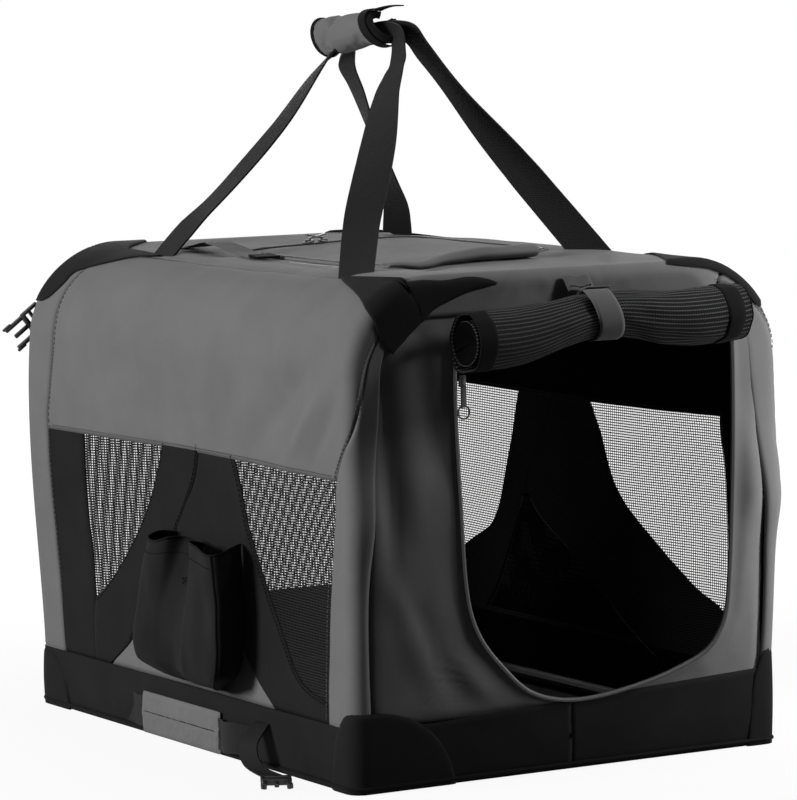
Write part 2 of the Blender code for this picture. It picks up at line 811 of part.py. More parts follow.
def build_net(side_name, side, shift, base):
    """One net behind both windows of a side, with its gaps where the windows are."""
    rear, front = window_outlines(shift)
    rows = [window_bottom_z - net_hem] + net_lines(window_bottom_z, window_top_z, net_pitch)
    rows.append(grey_edge_z - fit_gap)
    columns = [front_window_outer_y - net_hem / 2]
    columns += net_lines(front_window_outer_y, front_window_inner_y, net_pitch)
    columns += net_lines(rear_window_inner_y, rear_window_outer_y, net_pitch)
    columns.append(rear_window_outer_y + net_hem)
    columns = [y + shift for y in columns]
    outer = body_width / 2 - fabric_thickness - fit_gap
    bm, gaps = net_sheet(columns, rows,
                         lambda point: inside(rear, point) or inside(front, point),
                         lambda a, b, depth: (side * (outer - depth), a, b))
    print("net gaps", side_name, gaps)
    add_piece("side_net_" + side_name, bm, black_net, base)


def build_pocket(base):
    """Gusseted pouch on the left side, open at the top."""
    back = -body_width / 2 - fit_gap

    def outline(shrink, top):
        low = pocket_centre_y - pocket_width / 2 + shrink
        high = pocket_centre_y + pocket_width / 2 - shrink
        radius = pocket_corner - shrink
        centre_z = pocket_bottom_z + pocket_corner
        points = arc((low + radius, centre_z), radius, 180, 270, round_steps)
        points += arc((high - radius, centre_z), radius, 270, 360, round_steps)
        return points + [(high, top), (low, top)]

    pocket = add_piece("side_pocket", loft([
        [(back - out, a, b) for a, b in outline(shrink, pocket_top_z)]
        for out, shrink in ((0, 0), (pocket_depth - pocket_taper, 0), (pocket_depth, pocket_taper))
    ]), black_fabric, base)
    hollow = add_tool("pocket_hollow", loft([
        [(back - out, a, b) for a, b in outline(shrink, pocket_top_z + overrun)]
        for out, shrink in ((pocket_wall, pocket_wall), (pocket_depth - pocket_taper, pocket_wall),
                            (pocket_depth - pocket_wall, pocket_taper))
    ]))
    combine(pocket, hollow, "DIFFERENCE")


def build_door(front_upper, slider, pull):
    """Mesh door rolled up over its opening, the strap that ties it, and its zip slider."""
    front = -body_length / 2
    centre_y = front - tie_thickness - 2 * fit_gap - door_roll_radius
    section = spiral(door_roll_radius, door_roll_core, door_roll_turns, door_roll_sheet)
    add_piece("door_roll", extrude(
        section, lambda a, b, x: (x, centre_y + a, door_roll_z + b), door_roll_left_x,
        door_roll_right_x), black_net, front_upper)

    inner = door_roll_radius + fit_gap
    rings = []
    for radius, x in ((inner, tie_x), (inner + tie_thickness, tie_x),
                      (inner + tie_thickness, tie_x + tie_width), (inner, tie_x + tie_width)):
        rings.append([(x, centre_y + a, door_roll_z + b) for a, b in circle(radius, strap_ring_sides)])
    add_piece("door_tie_strap", loft(rings, ring=True), grey_fabric, front_upper)

    top_y = front - fit_gap
    half = slider_width / 2
    body = rounded_rectangle(door_zip_x - half, door_zip_x + half, door_slider_z - slider_length,
                             door_slider_z, half / 2, half / 2)
    add_piece("door_zip_slider", extrude(body, lambda a, b, y: (a, y, b), top_y,
                                         top_y - slider_height), zinc_zip, slider)
    pull_y = top_y - slider_height - fit_gap
    ring_z = door_slider_z - slider_length - pull_length + pull_ring_radius
    tab = arc((door_zip_x, ring_z), pull_ring_radius, 105, 435, 3 * round_steps)
    tab += [(door_zip_x + pull_bar_half, door_slider_z - slider_length / 2),
            (door_zip_x - pull_bar_half, door_slider_z - slider_length / 2)]
    ring = add_piece("door_zip_pull", extrude(tab, lambda a, b, y: (a, y, b), pull_y,
                                              pull_y - pull_thickness), zinc_zip, pull)
    eye = [(door_zip_x + a, ring_z + b)
           for a, b in circle(pull_ring_radius - pull_thickness, 2 * round_steps)]
    hole = add_tool("pull_eye", extrude(eye, lambda a, b, y: (a, y, b), pull_y + overrun,
                                        pull_y - pull_thickness - overrun))
    combine(ring, hole, "DIFFERENCE")


def build_hatch(top, hatch, left_slider, right_slider):
    """Zipped hatch in the roof, its rolled cover, its two sliders and the loose tie strap."""
    low = body_height + fit_gap
    outline = rounded_rectangle(-hatch_half_width, hatch_half_width, hatch_front_y, hatch_rear_y,
                                hatch_corner, hatch_corner)
    add_piece("roof_hatch", extrude(outline, lambda a, b, z: (a, b, z), low,
                                    low + fabric_thickness), grey_fabric, hatch)

    section = spiral(cover_roll_radius, cover_roll_core, cover_roll_turns, cover_roll_sheet)
    roll_z = body_height + fit_gap + cover_roll_radius
    add_piece("hatch_cover_roll", extrude(
        section, lambda a, b, x: (x, cover_roll_y + b, roll_z - a), cover_roll_left_x,
        cover_roll_right_x), grey_fabric, top)

    slider_y = hatch_rear_y + roof_slider_offset
    for name, side, carrier in (("hatch_zip_slider_left", -1, left_slider),
                                ("hatch_zip_slider_right", 1, right_slider)):
        near = roof_slider_x + side * roof_slider_gap / 2
        far = near + side * (slider_length + pull_length)
        body = rounded_rectangle(min(near, far), max(near, far), slider_y - slider_width / 2,
                                 slider_y + slider_width / 2, slider_width / 4, slider_width / 4)
        add_piece(name, extrude(body, lambda a, b, z: (a, b, z), low, low + slider_height),
                  zinc_zip, carrier)

    half = roof_tie_width / 2
    strap = rounded_rectangle(roof_tie_x - half, roof_tie_x + half, roof_tie_front_y,
                              roof_tie_rear_y, half / 2, half / 4)
    add_piece("roof_tie_strap", extrude(strap, lambda a, b, z: (a, b, z), low,
                                        low + tie_thickness), grey_fabric, top)


def strap_frame(side):
    """Hinge line of a carry loop: its base point and the direction up the loop's plane."""
    base_out = strap_base_x - corner_x
    roof_z = corner_z + math.sqrt((hoop_corner_radius + skin_outer) ** 2 - base_out ** 2)
    base = Vector((side * strap_base_x, 0, roof_z + fit_gap + webbing_thickness / 2))
    top = Vector((side * strap_top_x, 0, strap_top_z))
    return base, top - base


def loop_half_route(base_y, grip_y, length):
    """Points in Y and up the loop's plane from the roof to the end of the grip, with widths."""
    rise_shares = ((0.0, 0.0), (0.03, 0.10), (0.10, 0.22), (0.45, 0.58), (0.80, 0.88), (0.94, 0.98),
                   (1.0, 1.0))
    gather_shares = (0.0, 0.0, 0.0, 0.0, 0.35, 0.85, 1.0)
    points = []
    for (along, high), gather in zip(rise_shares, gather_shares):
        width = webbing_width + (gathered_width - webbing_width) * gather
        points.append((base_y + (grip_y - base_y) * along, length * high, width))
    return points


def build_loop(name, side, carrier):
    """Webbing loop of the carry handle: up from the roof, gathered through the grip and down."""
    base, rise = strap_frame(side)
    length = rise.length
    up = rise.normalized()
    normal = up.cross(Vector((0, 1, 0))).normalized()
    route = loop_half_route(strap_front_y, grip_front_y - overrun, length)
    route += reversed(loop_half_route(strap_rear_y, grip_rear_y + overrun, length))
    loops = []
    for index, (y, reach, width) in enumerate(route):
        before, after = route[max(index - 1, 0)], route[min(index + 1, len(route) - 1)]
        along = Vector((after[0] - before[0], after[1] - before[1])).normalized()
        if index in (0, len(route) - 1):
            along = Vector((0, 1 if index == 0 else -1))
        if reach == length:
            along = Vector((1, 0))
        across = Vector((-along[1], along[0])) * width / 2
        loop = []
        for edge in (-1, 1):
            for face in (-edge, edge):
                flat_y, flat_up = y + across[0] * edge, reach + across[1] * edge
                loop.append(base + Vector((0, flat_y, 0)) + up * flat_up
                            + normal * face * webbing_thickness / 2)
        loops.append(loop)
    add_piece(name, loft(loops), black_webbing, carrier)


def build_grip(carrier):
    """Padded grip that closes round both loops, with its mouth towards the right loop."""
    base, rise = strap_frame(-1)
    up = rise.normalized()
    corner_x_out = -strap_top_x - up.x * gathered_width / 2 - up.z * webbing_thickness / 2
    corner_z_out = strap_top_z - up.z * gathered_width / 2 + up.x * webbing_thickness / 2
    inner = math.hypot(corner_x_out, corner_z_out - grip_z) + fit_gap
    outer = inner + grip_padding
    stop = 360 + grip_mouth_low_deg
    section = arc((0, grip_z), outer, grip_mouth_high_deg, stop, 4 * round_steps)
    section += arc((0, grip_z), inner, stop, grip_mouth_high_deg, 4 * round_steps)
    add_piece("carry_grip", extrude(section, lambda a, b, y: (a, y, b), grip_front_y, grip_rear_y),
              grey_fabric, carrier)


def build_side_handle(carrier):
    """Grab handle low on the left side: flat webbing through a padded sleeve."""
    side_x = -body_width / 2 - fit_gap
    middle_z = (side_sleeve_bottom_z + side_sleeve_top_z) / 2
    web_out = side_x - (side_sleeve_thickness - side_web_thickness) / 2
    web_in = web_out + fit_gap
    half = side_web_width / 2
    start = (side_x - side_web_thickness, side_x)
    route = [(side_web_front_y, *start), (side_web_front_y + side_web_width, *start),
             (side_sleeve_front_y, web_out - side_web_thickness, web_out),
             (side_sleeve_rear_y, web_out - side_web_thickness, web_out),
             (side_web_rear_y - side_web_width, *start), (side_web_rear_y, *start)]
    loops = [[(low, y, middle_z - half), (high, y, middle_z - half), (high, y, middle_z + half),
              (low, y, middle_z + half)] for y, low, high in route]
    add_piece("side_handle_webbing", loft(loops), black_webbing, carrier)
    section = rounded_rectangle(side_x - side_sleeve_thickness, side_x, side_sleeve_bottom_z,
                                side_sleeve_top_z, side_web_thickness, side_web_thickness)
    sleeve = add_piece("side_handle_sleeve", extrude(
        section, lambda a, b, y: (a, y, b), side_sleeve_front_y + fit_gap,
        side_sleeve_rear_y - fit_gap), grey_fabric, carrier)
    hollow = add_tool("sleeve_hollow", box(
        (web_out - side_web_thickness - fit_gap, side_sleeve_front_y - overrun,
         middle_z - half - fit_gap),
        (web_in, side_sleeve_rear_y + overrun, middle_z + half + fit_gap)))
    combine(sleeve, hollow, "DIFFERENCE")


def buckle_outline():
    """Side-release buckle from above, with its prongs at the far end."""
    half, neck = buckle_width / 2, closing_web_width / 2
    prong = half - buckle_prong_gap
    root = buckle_length - buckle_prong_depth
    return [(0, -neck), (buckle_prong_gap, -half), (root, -half), (buckle_length, -prong),
            (buckle_length, -buckle_prong_gap), (root, -buckle_prong_gap),
            (root, buckle_prong_gap), (buckle_length, buckle_prong_gap), (buckle_length, prong),
            (root, half), (buckle_prong_gap, half), (0, neck)]


def build_closing_straps(base, rear_strap):
    """Two short straps with buckles: one lies on the floor, one hangs behind the roof's corner."""
    turn = math.radians(180 + floor_strap_turn_deg)
    along = Vector((math.cos(turn), math.sin(turn), 0))
    across = Vector((-along.y, along.x, 0))
    start = Vector((-body_width / 2 - fit_gap, floor_strap_inset - body_length / 2, 0))
    half = closing_web_width / 2
    slant = half * across.x / along.x
    flat = [(slant, -half), (floor_strap_length, -half), (floor_strap_length, half), (-slant, half)]

    def on_floor(a, b, z):
        return start + along * a + across * b + Vector((0, 0, z))

    add_piece("floor_strap", extrude(flat, on_floor, 0, closing_web_thickness), black_webbing,
              base)
    reach = floor_strap_length + fit_gap
    shape = [(reach + a, b) for a, b in buckle_outline()]
    add_piece("floor_buckle", extrude(shape, on_floor, 0, buckle_thickness), black_plastic, base)

    turn = math.radians(180 + rear_strap_turn_deg)
    along = Vector((math.cos(turn), 0, math.sin(turn)))
    across = Vector((-along.z, 0, along.x))
    start = Vector((rear_strap_inset - body_width / 2, body_length / 2 + fit_gap, rear_strap_top_z))
    slant = half * across.z / along.z
    flat = [(slant, -half), (rear_strap_length, -half), (rear_strap_length, half), (-slant, half)]

    def behind(a, b, y):
        return start + along * a + across * b + Vector((0, y, 0))

    add_piece("rear_strap", extrude(flat, behind, 0, closing_web_thickness), black_webbing,
              rear_strap)
    reach = rear_strap_length + fit_gap
    shape = [(reach + a, b) for a, b in buckle_outline()]
    add_piece("rear_buckle", extrude(shape, behind, 0, buckle_thickness), black_plastic, rear_strap)


def build():
    """Build the crate, body by body."""
    clear_scene()
    base = joint_empty("base", (0, 0, 0))
    build_base(base)
    top = joint_empty("top", (0, -hoop_y, top_bar_z))
    for end_name, end in ends.items():
        lower = joint_empty(end_name + "_lower", (0, end * hoop_y, foot_pivot_z))
        upper = joint_empty(end_name + "_upper", (0, end * knee_y, knee_z))
        for side_name, side in sides.items():
            label = end_name + "_" + side_name
            build_leg("leg_" + label, end, side, lower)
            build_knee_half("knee_lower_" + label, end, side, -1, lower)
            build_knee_half("knee_upper_" + label, end, side, 1, upper)
        build_arch("hoop_" + end_name, end, upper)
        has_door = end < 0
        build_end_panel(end_name + "_panel_lower", end, True, has_door, lower)
        build_end_panel(end_name + "_panel_upper", end, False, has_door, upper)
        if has_door:
            front_top = (door_zip_x, -body_length / 2, door_slider_z)
            slider = joint_empty("door_slider", front_top)
            pull = joint_empty("door_pull", (door_zip_x, -body_length / 2 - slider_height,
                                             door_slider_z - slider_length / 2))
            build_door(upper, slider, pull)
    build_rails(top)
    build_roof(top)
    hatch = joint_empty("hatch", (0, hatch_front_y, body_height))
    build_hatch(top, hatch, joint_empty("hatch_slider_left", (0, hatch_rear_y, body_height)),
                joint_empty("hatch_slider_right", (0, hatch_rear_y, body_height)))
    for side_name, side in sides.items():
        loop = joint_empty("carry_loop_" + side_name, strap_frame(side)[0])
        build_loop("carry_loop_" + side_name, side, loop)
        if side < 0:
            build_grip(loop)
        build_side(side_name, side, base)
    build_pocket(base)
    build_side_handle(joint_empty("side_handle", (-body_width / 2, 0, side_sleeve_top_z)))
    rear_strap_place = (rear_strap_inset - body_width / 2, body_length / 2, rear_strap_top_z)
    build_closing_straps(base, joint_empty("rear_strap", rear_strap_place))


build()
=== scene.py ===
# Soft folding dog crate: sewn oxford walls over folding hoops, mesh windows, rolled mesh door,
# carry loops with a padded grip. Everything is in metres, in the CAD's frame.
import math

import bmesh
import bpy
from mathutils import Matrix, Vector, noise


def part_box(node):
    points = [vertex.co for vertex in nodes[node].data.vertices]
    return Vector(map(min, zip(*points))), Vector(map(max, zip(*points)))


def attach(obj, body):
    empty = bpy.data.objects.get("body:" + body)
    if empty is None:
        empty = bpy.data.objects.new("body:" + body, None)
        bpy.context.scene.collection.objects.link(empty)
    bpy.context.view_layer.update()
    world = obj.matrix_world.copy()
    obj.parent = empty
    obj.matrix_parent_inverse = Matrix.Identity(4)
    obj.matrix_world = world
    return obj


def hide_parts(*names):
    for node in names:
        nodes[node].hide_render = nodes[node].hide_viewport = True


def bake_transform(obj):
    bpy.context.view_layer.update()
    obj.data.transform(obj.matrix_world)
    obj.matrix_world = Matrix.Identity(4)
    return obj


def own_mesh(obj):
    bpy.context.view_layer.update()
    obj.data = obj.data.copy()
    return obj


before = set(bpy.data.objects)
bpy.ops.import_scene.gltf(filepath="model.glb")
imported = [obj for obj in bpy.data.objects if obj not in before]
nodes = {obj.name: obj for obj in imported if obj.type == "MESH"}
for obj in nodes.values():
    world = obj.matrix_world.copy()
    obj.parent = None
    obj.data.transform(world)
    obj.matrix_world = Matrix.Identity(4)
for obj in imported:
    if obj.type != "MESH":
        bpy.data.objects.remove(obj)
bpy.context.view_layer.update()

# The lines that the cloth follows, as in the CAD
crate = {
    "halfWidth": 0.26, "halfLength": 0.35, "height": 0.52,
    "skin": 0.0131,          # from a hoop's centre line to the outside of the cloth
    "bend": 0.085,           # radius of the hoops' upper corners
    "knee": Vector((0, 0.3506, 0.2707)),
    "skirt": 0.070,          # height of the black band round the base
    "fold": "frame_fold",
    "foldedShare": 0.07,     # height that the walls keep when the frame is folded
}
legX = crate["halfWidth"] - crate["skin"]
hoopY = crate["halfLength"] - crate["skin"]
topZ = crate["height"] - crate["skin"]
bendX, bendZ = legX - crate["bend"], topZ - crate["bend"]
bendRun = crate["bend"] * math.pi / 2
halfRun = bendZ + bendRun + bendX
turnRun = crate["skin"] * math.pi / 2


# Colours and materials
def linear(code):  # sRGB hex to the linear colour that nodes take
    parts = [int(code[i:i + 2], 16) / 255 for i in (1, 3, 5)]
    return (*[p / 12.92 if p <= 0.04045 else ((p + 0.055) / 1.055) ** 2.4 for p in parts], 1.0)


def addNode(tree, kind, settings=None, links=None):
    node = tree.nodes.new(kind)
    for name, value in (settings or {}).items():
        if isinstance(name, int) or name in node.inputs:
            node.inputs[name].default_value = value
        else:
            setattr(node, name, value)
    for name, source in (links or {}).items():
        tree.links.new(source, node.inputs[name])
    return node


def newMaterial(name, roughness, metallic=0.0):
    material = bpy.data.materials.new(name)
    material.use_nodes = True
    shader = material.node_tree.nodes["Principled BSDF"]
    shader.inputs["Roughness"].default_value = roughness
    shader.inputs["Metallic"].default_value = metallic
    return material, material.node_tree, shader


def threadWaves(tree, ways):  # height of a plain weave, from (coordinate, thread spacing) pairs
    waves = []
    for way, pitch in ways:
        turned = addNode(tree, "ShaderNodeMath", {"operation": "MULTIPLY", 1: 2 * math.pi / pitch},
                         {0: way}).outputs[0]
        waves.append(addNode(tree, "ShaderNodeMath", {"operation": "SINE"},
                             {0: turned}).outputs[0])
    return addNode(tree, "ShaderNodeMath", {"operation": "MULTIPLY"},
                   {0: waves[0], 1: waves[1]}).outputs[0]


def threadCells(tree, rows):  # 1 in the first share of each cell, from (way, pitch, share) rows
    place = addNode(tree, "ShaderNodeUVMap", {"uv_map": "cloth"}).outputs["UV"]
    apart = addNode(tree, "ShaderNodeSeparateXYZ", None, {"Vector": place})
    masks = []
    for way, pitch, share in rows:
        cell = addNode(tree, "ShaderNodeMath", {"operation": "MULTIPLY", 1: 1 / pitch},
                       {0: apart.outputs[way]}).outputs[0]
        part = addNode(tree, "ShaderNodeMath", {"operation": "FRACT"}, {0: cell}).outputs[0]
        masks.append(addNode(tree, "ShaderNodeMath", {"operation": "LESS_THAN", 1: share},
                             {0: part}).outputs[0])
    return addNode(tree, "ShaderNodeMath", {"operation": "MULTIPLY"},
                   {0: masks[0], 1: masks[1]}).outputs[0]


def oxfordCloth(name, light, dark, thread, sheen, shine=0.06):
    # Coated oxford polyester: a plain weave with a matt face, so light rolls off softly and the
    # colour wanders a little where the cloth is creased; its threads shine less than a smooth skin.
    material, tree, shader = newMaterial(name, 0.78)
    shader.inputs["Specular IOR Level"].default_value = shine
    place = addNode(tree, "ShaderNodeTexCoord").outputs["Object"]
    cloud = addNode(tree, "ShaderNodeTexNoise", {"Scale": 14.0, "Detail": 5.0, "Roughness": 0.6},
                    {"Vector": place}).outputs["Fac"]
    speck = addNode(tree, "ShaderNodeTexNoise", {"Scale": 900.0, "Detail": 2.0},
                    {"Vector": place}).outputs["Fac"]
    mixed = addNode(tree, "ShaderNodeMath", {"operation": "MULTIPLY_ADD", 1: 0.35},
                    {0: speck, 2: cloud}).outputs[0]
    ramp = addNode(tree, "ShaderNodeValToRGB", None, {"Fac": mixed})
    ramp.color_ramp.elements[0].position, ramp.color_ramp.elements[1].position = 0.35, 0.95
    ramp.color_ramp.elements[0].color = linear(dark)
    ramp.color_ramp.elements[1].color = linear(light)
    tree.links.new(ramp.outputs["Color"], shader.inputs["Base Color"])
    apart = addNode(tree, "ShaderNodeSeparateXYZ", None, {"Vector": place})
    ways = []
    for first, second in (("X", "Y"), ("Y", "Z")):
        total = addNode(tree, "ShaderNodeMath", {"operation": "ADD"},
                        {0: apart.outputs[first], 1: apart.outputs[second]}).outputs[0]
        ways.append((total, thread))  # thread spacing, coarser than real so that it shows
    weave = threadWaves(tree, ways)
    fine = addNode(tree, "ShaderNodeBump", {"Strength": 0.12, "Distance": 0.0004},
                   {"Height": weave}).outputs["Normal"]
    soft = addNode(tree, "ShaderNodeTexNoise", {"Scale": 45.0, "Detail": 3.0},
                   {"Vector": place}).outputs["Fac"]
    bump = addNode(tree, "ShaderNodeBump", {"Strength": 0.25, "Distance": 0.002},
                   {"Height": soft, "Normal": fine}).outputs["Normal"]
    tree.links.new(bump, shader.inputs["Normal"])
    shader.inputs["Sheen Weight"].default_value = sheen
    shader.inputs["Sheen Roughness"].default_value = 0.5
    return material


def meshCloth(name, colour, pitch, hole):
    # Open polyester mesh: dark knitted threads with square holes that let the light through.
    # The pitch is coarser than the real 1.5 mm so that it shows.
    material, tree, shader = newMaterial(name, 0.7)
    shader.inputs["Specular IOR Level"].default_value = 0.08
    shader.inputs["Base Color"].default_value = linear(colour)
    gap = threadCells(tree, [("X", pitch[0], hole[0]), ("Y", pitch[1], hole[1])])
    solid = addNode(tree, "ShaderNodeMath", {"operation": "SUBTRACT", 0: 1.0}, {1: gap}).outputs[0]
    tree.links.new(solid, shader.inputs["Alpha"])
    return material


def rolledMesh(name):
    # The same mesh rolled in layers: nearly black, with pale lines along the roll where the knit's
    # rows catch the light, painted as a paler colour.
    material, tree, shader = newMaterial(name, 0.7)
    shader.inputs["Specular IOR Level"].default_value = 0.08
    row = threadCells(tree, [("Y", 0.0044, 0.26), ("X", 0.0030, 0.72)])
    # painted highlight: the knit's rows take a paler colour all round the roll
    colour = addNode(tree, "ShaderNodeMix", {"data_type": "RGBA", 6: linear("#121213"),
                                             7: linear("#5c5c5d")}, {0: row})
    tree.links.new(colour.outputs[2], shader.inputs["Base Color"])
    bump = addNode(tree, "ShaderNodeBump", {"Strength": 0.5, "Distance": 0.0006},
                   {"Height": row}).outputs["Normal"]
    tree.links.new(bump, shader.inputs["Normal"])
    return material


def webbingCloth(name, colour, pale):
    # Ribbed polypropylene webbing: nearly matt, with a faint shine; the paler colour on each rib's
    # crest is painted sheen.
    material, tree, shader = newMaterial(name, 0.65)
    shader.inputs["Specular IOR Level"].default_value = 0.10
    place = addNode(tree, "ShaderNodeUVMap", {"uv_map": "cloth"}).outputs["UV"]
    apart = addNode(tree, "ShaderNodeSeparateXYZ", None, {"Vector": place})
    weave = threadWaves(tree, [(apart.outputs["Y"], 0.0022), (apart.outputs["X"], 0.0032)])
    share = addNode(tree, "ShaderNodeMath", {"operation": "MULTIPLY_ADD", 1: 0.5, 2: 0.5},
                    {0: weave}).outputs[0]
    # painted sheen: the rib crests take the paler colour
    colours = addNode(tree, "ShaderNodeMix", {"data_type": "RGBA", 6: linear(colour),
                                              7: linear(pale)}, {0: share})
    tree.links.new(colours.outputs[2], shader.inputs["Base Color"])
    bump = addNode(tree, "ShaderNodeBump", {"Strength": 0.5, "Distance": 0.0005},
                   {"Height": weave}).outputs["Normal"]
    tree.links.new(bump, shader.inputs["Normal"])
    return material


def plainFinish(name, colour, roughness, metallic=0.0, grain=400.0, depth=0.0002, strength=0.2):
    # Moulded, cast or coated surfaces: one colour with a fine grain.
    material, tree, shader = newMaterial(name, roughness, metallic)
    place = addNode(tree, "ShaderNodeTexCoord").outputs["Object"]
    speck = addNode(tree, "ShaderNodeTexNoise", {"Scale": grain, "Detail": 3.0},
                    {"Vector": place}).outputs["Fac"]
    shade = addNode(tree, "ShaderNodeMapRange", {"To Min": 0.82, "To Max": 1.12},
                    {"Value": speck}).outputs["Result"]
    tone = addNode(tree, "ShaderNodeHueSaturation", {"Color": linear(colour)}, {"Value": shade})
    tree.links.new(tone.outputs["Color"], shader.inputs["Base Color"])
    bump = addNode(tree, "ShaderNodeBump", {"Strength": strength, "Distance": depth},
                   {"Height": speck}).outputs["Normal"]
    tree.links.new(bump, shader.inputs["Normal"])
    return material


cloth = {
    "grey": oxfordCloth("greyOxford", "#777778", "#6c6c6d", 0.0016, 0.05),
    "black": oxfordCloth("blackOxford", "#252526", "#1c1c1d", 0.0016, 0.0, 0.04),
    # near-black inner faces: a black backing, darkened further as painted shade for the crate's
    # inside
    "shadedLining": oxfordCloth("shadedBlackBacking", "#080809", "#050506", 0.0016, 0.0, 0.02),
    "binding": oxfordCloth("bindingTape", "#1c1c1d", "#151516", 0.0012, 0.0, 0.04),
    "greyTape": oxfordCloth("greyTape", "#69696a", "#5c5c5d", 0.0012, 0.05),
    "window": meshCloth("windowMesh", "#1f1f20", (0.0036, 0.0029), (0.66, 0.58)),
    "sideWindow": meshCloth("sideWindowMesh", "#1f1f20", (0.0036, 0.0029), (0.58, 0.52)),
    "roll": rolledMesh("rolledDoorMesh"),
    "webbing": webbingCloth("polyWebbing", "#171718", "#232324"),
    "buckle": plainFinish("acetalBuckle", "#161617", 0.42),
    "zinc": plainFinish("castZincZip", "#5a5a5c", 0.38, 0.9),
    "coil": plainFinish("nylonZipCoil", "#171718", 0.5, 0.0, 900.0),
    "steel": plainFinish("powderCoatedSteel", "#1c1c1e", 0.42, 0.2, 700.0, 0.0001),
    # the board's black covering, darkened further as painted shade inside the crate
    "board": plainFinish("shadedFloorBoard", "#0a0a0b", 0.9, 0.0, 250.0, 0.0004, 0.4),
}
print("materials ready")


# The lines of the cloth
def smoothShare(value):
    value = min(max(value, 0.0), 1.0)
    return value * value * (3 - 2 * value)


def hoopLine(run):  # run is measured up the left wall, over the roof and down the right wall
    onRight = run > halfRun
    run = 2 * halfRun - run if onRight else run
    if run < bendZ:
        spot, out = (legX, run), (1, 0)
    elif run < bendZ + bendRun:
        turn = (run - bendZ) / crate["bend"]
        out = (math.cos(turn), math.sin(turn))
        spot = (bendX + crate["bend"] * out[0], bendZ + crate["bend"] * out[1])
    else:
        spot, out = (bendX - (run - bendZ - bendRun), topZ), (0, 1)
    side = 1 if onRight else -1
    return Vector((side * spot[0], 0, spot[1])), Vector((side * out[0], 0, out[1]))


# Folds pressed into the cloth: from one (run, along) point to another, half width, height out
wallFolds = [
    ((0.455, -0.318), (0.330, -0.130), 0.016, -0.0030),
    ((0.470, -0.270), (0.350, -0.090), 0.020, 0.0016),
    ((0.430, -0.335), (0.325, -0.215), 0.012, 0.0028),
    ((0.410, -0.338), (0.322, -0.262), 0.009, -0.0026),
    ((0.400, -0.290), (0.345, -0.235), 0.007, 0.0014),
    ((0.500, -0.250), (0.505, 0.060), 0.018, 0.0018),
    ((0.480, 0.270), (0.360, 0.150), 0.022, 0.0014),
    ((0.440, 0.282), (0.340, 0.225), 0.014, -0.0016),
    ((0.300, -0.345), (0.120, -0.325), 0.007, 0.0016),
    ((0.260, 0.340), (0.110, 0.320), 0.008, -0.0012),
    ((0.130, -0.330), (0.010, -0.318), 0.006, 0.0018),
]
roofFolds = [
    ((0.60, -0.300), (0.66, -0.140), 0.020, -0.0030),
    ((0.56, 0.060), (0.66, 0.120), 0.018, 0.0026),
    ((0.66, 0.120), (0.78, 0.170), 0.020, 0.0020),
    ((0.56, -0.120), (0.63, 0.020), 0.022, -0.0024),
    ((0.84, -0.290), (0.80, -0.120), 0.020, 0.0024),
    ((0.80, -0.315), (0.84, -0.250), 0.010, -0.0040),
    ((0.62, 0.300), (0.80, 0.280), 0.024, 0.0022),
]


def foldHeight(run, along, folds):
    total = 0.0
    for start, end, width, height in folds:
        run0, along0 = start
        down, across = end[0] - run0, end[1] - along0
        length = math.hypot(down, across)
        share = ((run - run0) * down + (along - along0) * across) / length ** 2
        if -0.25 < share < 1.25:
            offset = ((run - run0) * across - (along - along0) * down) / length
            fade = smoothShare((share + 0.25) / 0.5) * smoothShare((1.25 - share) / 0.5)
            total += height * math.exp(-(offset / width) ** 2) * fade
    return total


drape = {
    "sag": 0.018, "sagFoot": 0.03, "sagHeight": 0.44,   # the side walls bow inwards
    "crownLeft": -0.006, "crownRise": 0.010, "crownWidth": 0.20,  # the roof dips left, swells right
    "edge": 0.045,             # the cloth is tight this near to a hoop
    "roofRun": 0.50,           # from here the roof's folds count
    "lean": 0.029,             # the rear hoop leans back at mid height
    "swell": 0.009,            # the front right corner swells
    "kneeCover": 0.0075, "kneeSpread": 0.042,  # keeps the front cloth over the hoop's knees
    "face": 0.006,             # size of a wall's faces
    "hem": 0.0012, "hemWidth": 0.006,  # the walls' panels are turned in at their edges
}


def slack(run, along):  # how far the cloth lies out from the line between the hoops
    edge = smoothShare((hoopY - abs(along)) / drape["edge"])
    onRight = run > halfRun
    low = 2 * halfRun - run if onRight else run
    bow = math.cos(math.pi * along / (2 * crate["halfLength"])) ** 2
    wallShare = min(max((low - drape["sagFoot"]) / drape["sagHeight"], 0.0), 1.0)
    out = -drape["sag"] * bow * math.sin(math.pi * wallShare)
    roofShare = smoothShare((low - bendZ - bendRun * 0.5) / 0.10)
    across = smoothShare((run - halfRun) / drape["crownWidth"] + 0.5)
    crown = drape["crownLeft"] + drape["crownRise"] * across
    out += roofShare * bow * crown
    folds = foldHeight(low, along, wallFolds) if low < 0.56 else 0.0
    if low > drape["roofRun"]:
        folds += foldHeight(run, along, roofFolds)
    waver = noise.noise(Vector((run * 9, along * 7, 3.1))) * 0.0022
    waver += noise.noise(Vector((run * 27, along * 22, 8.4))) * 0.0008
    return out + (folds + waver * smoothShare((low - 0.05) / 0.1)) * (0.25 + 0.75 * edge) \
        if edge > 0 else 0.0


def sprawl(point):
    # the frame stands a little out of true at mid height: the rear hoop leans back, and the
    # front right corner swells
    high = min(max((point.z - 0.07) / 0.45, 0.0), 1.0)
    rear = smoothShare((point.y - 0.12) / 0.20) * math.sin(math.pi * high ** 1.3)
    right = smoothShare((point.x - 0.20) / 0.05) * smoothShare((-0.05 - point.y) / 0.25)
    return point + Vector((drape["swell"] * right * math.sin(math.pi * high),
                           drape["lean"] * rear, 0))


def kneeBulge(z):
    return drape["kneeCover"] * math.exp(-((z - crate["knee"].z) / drape["kneeSpread"]) ** 2)


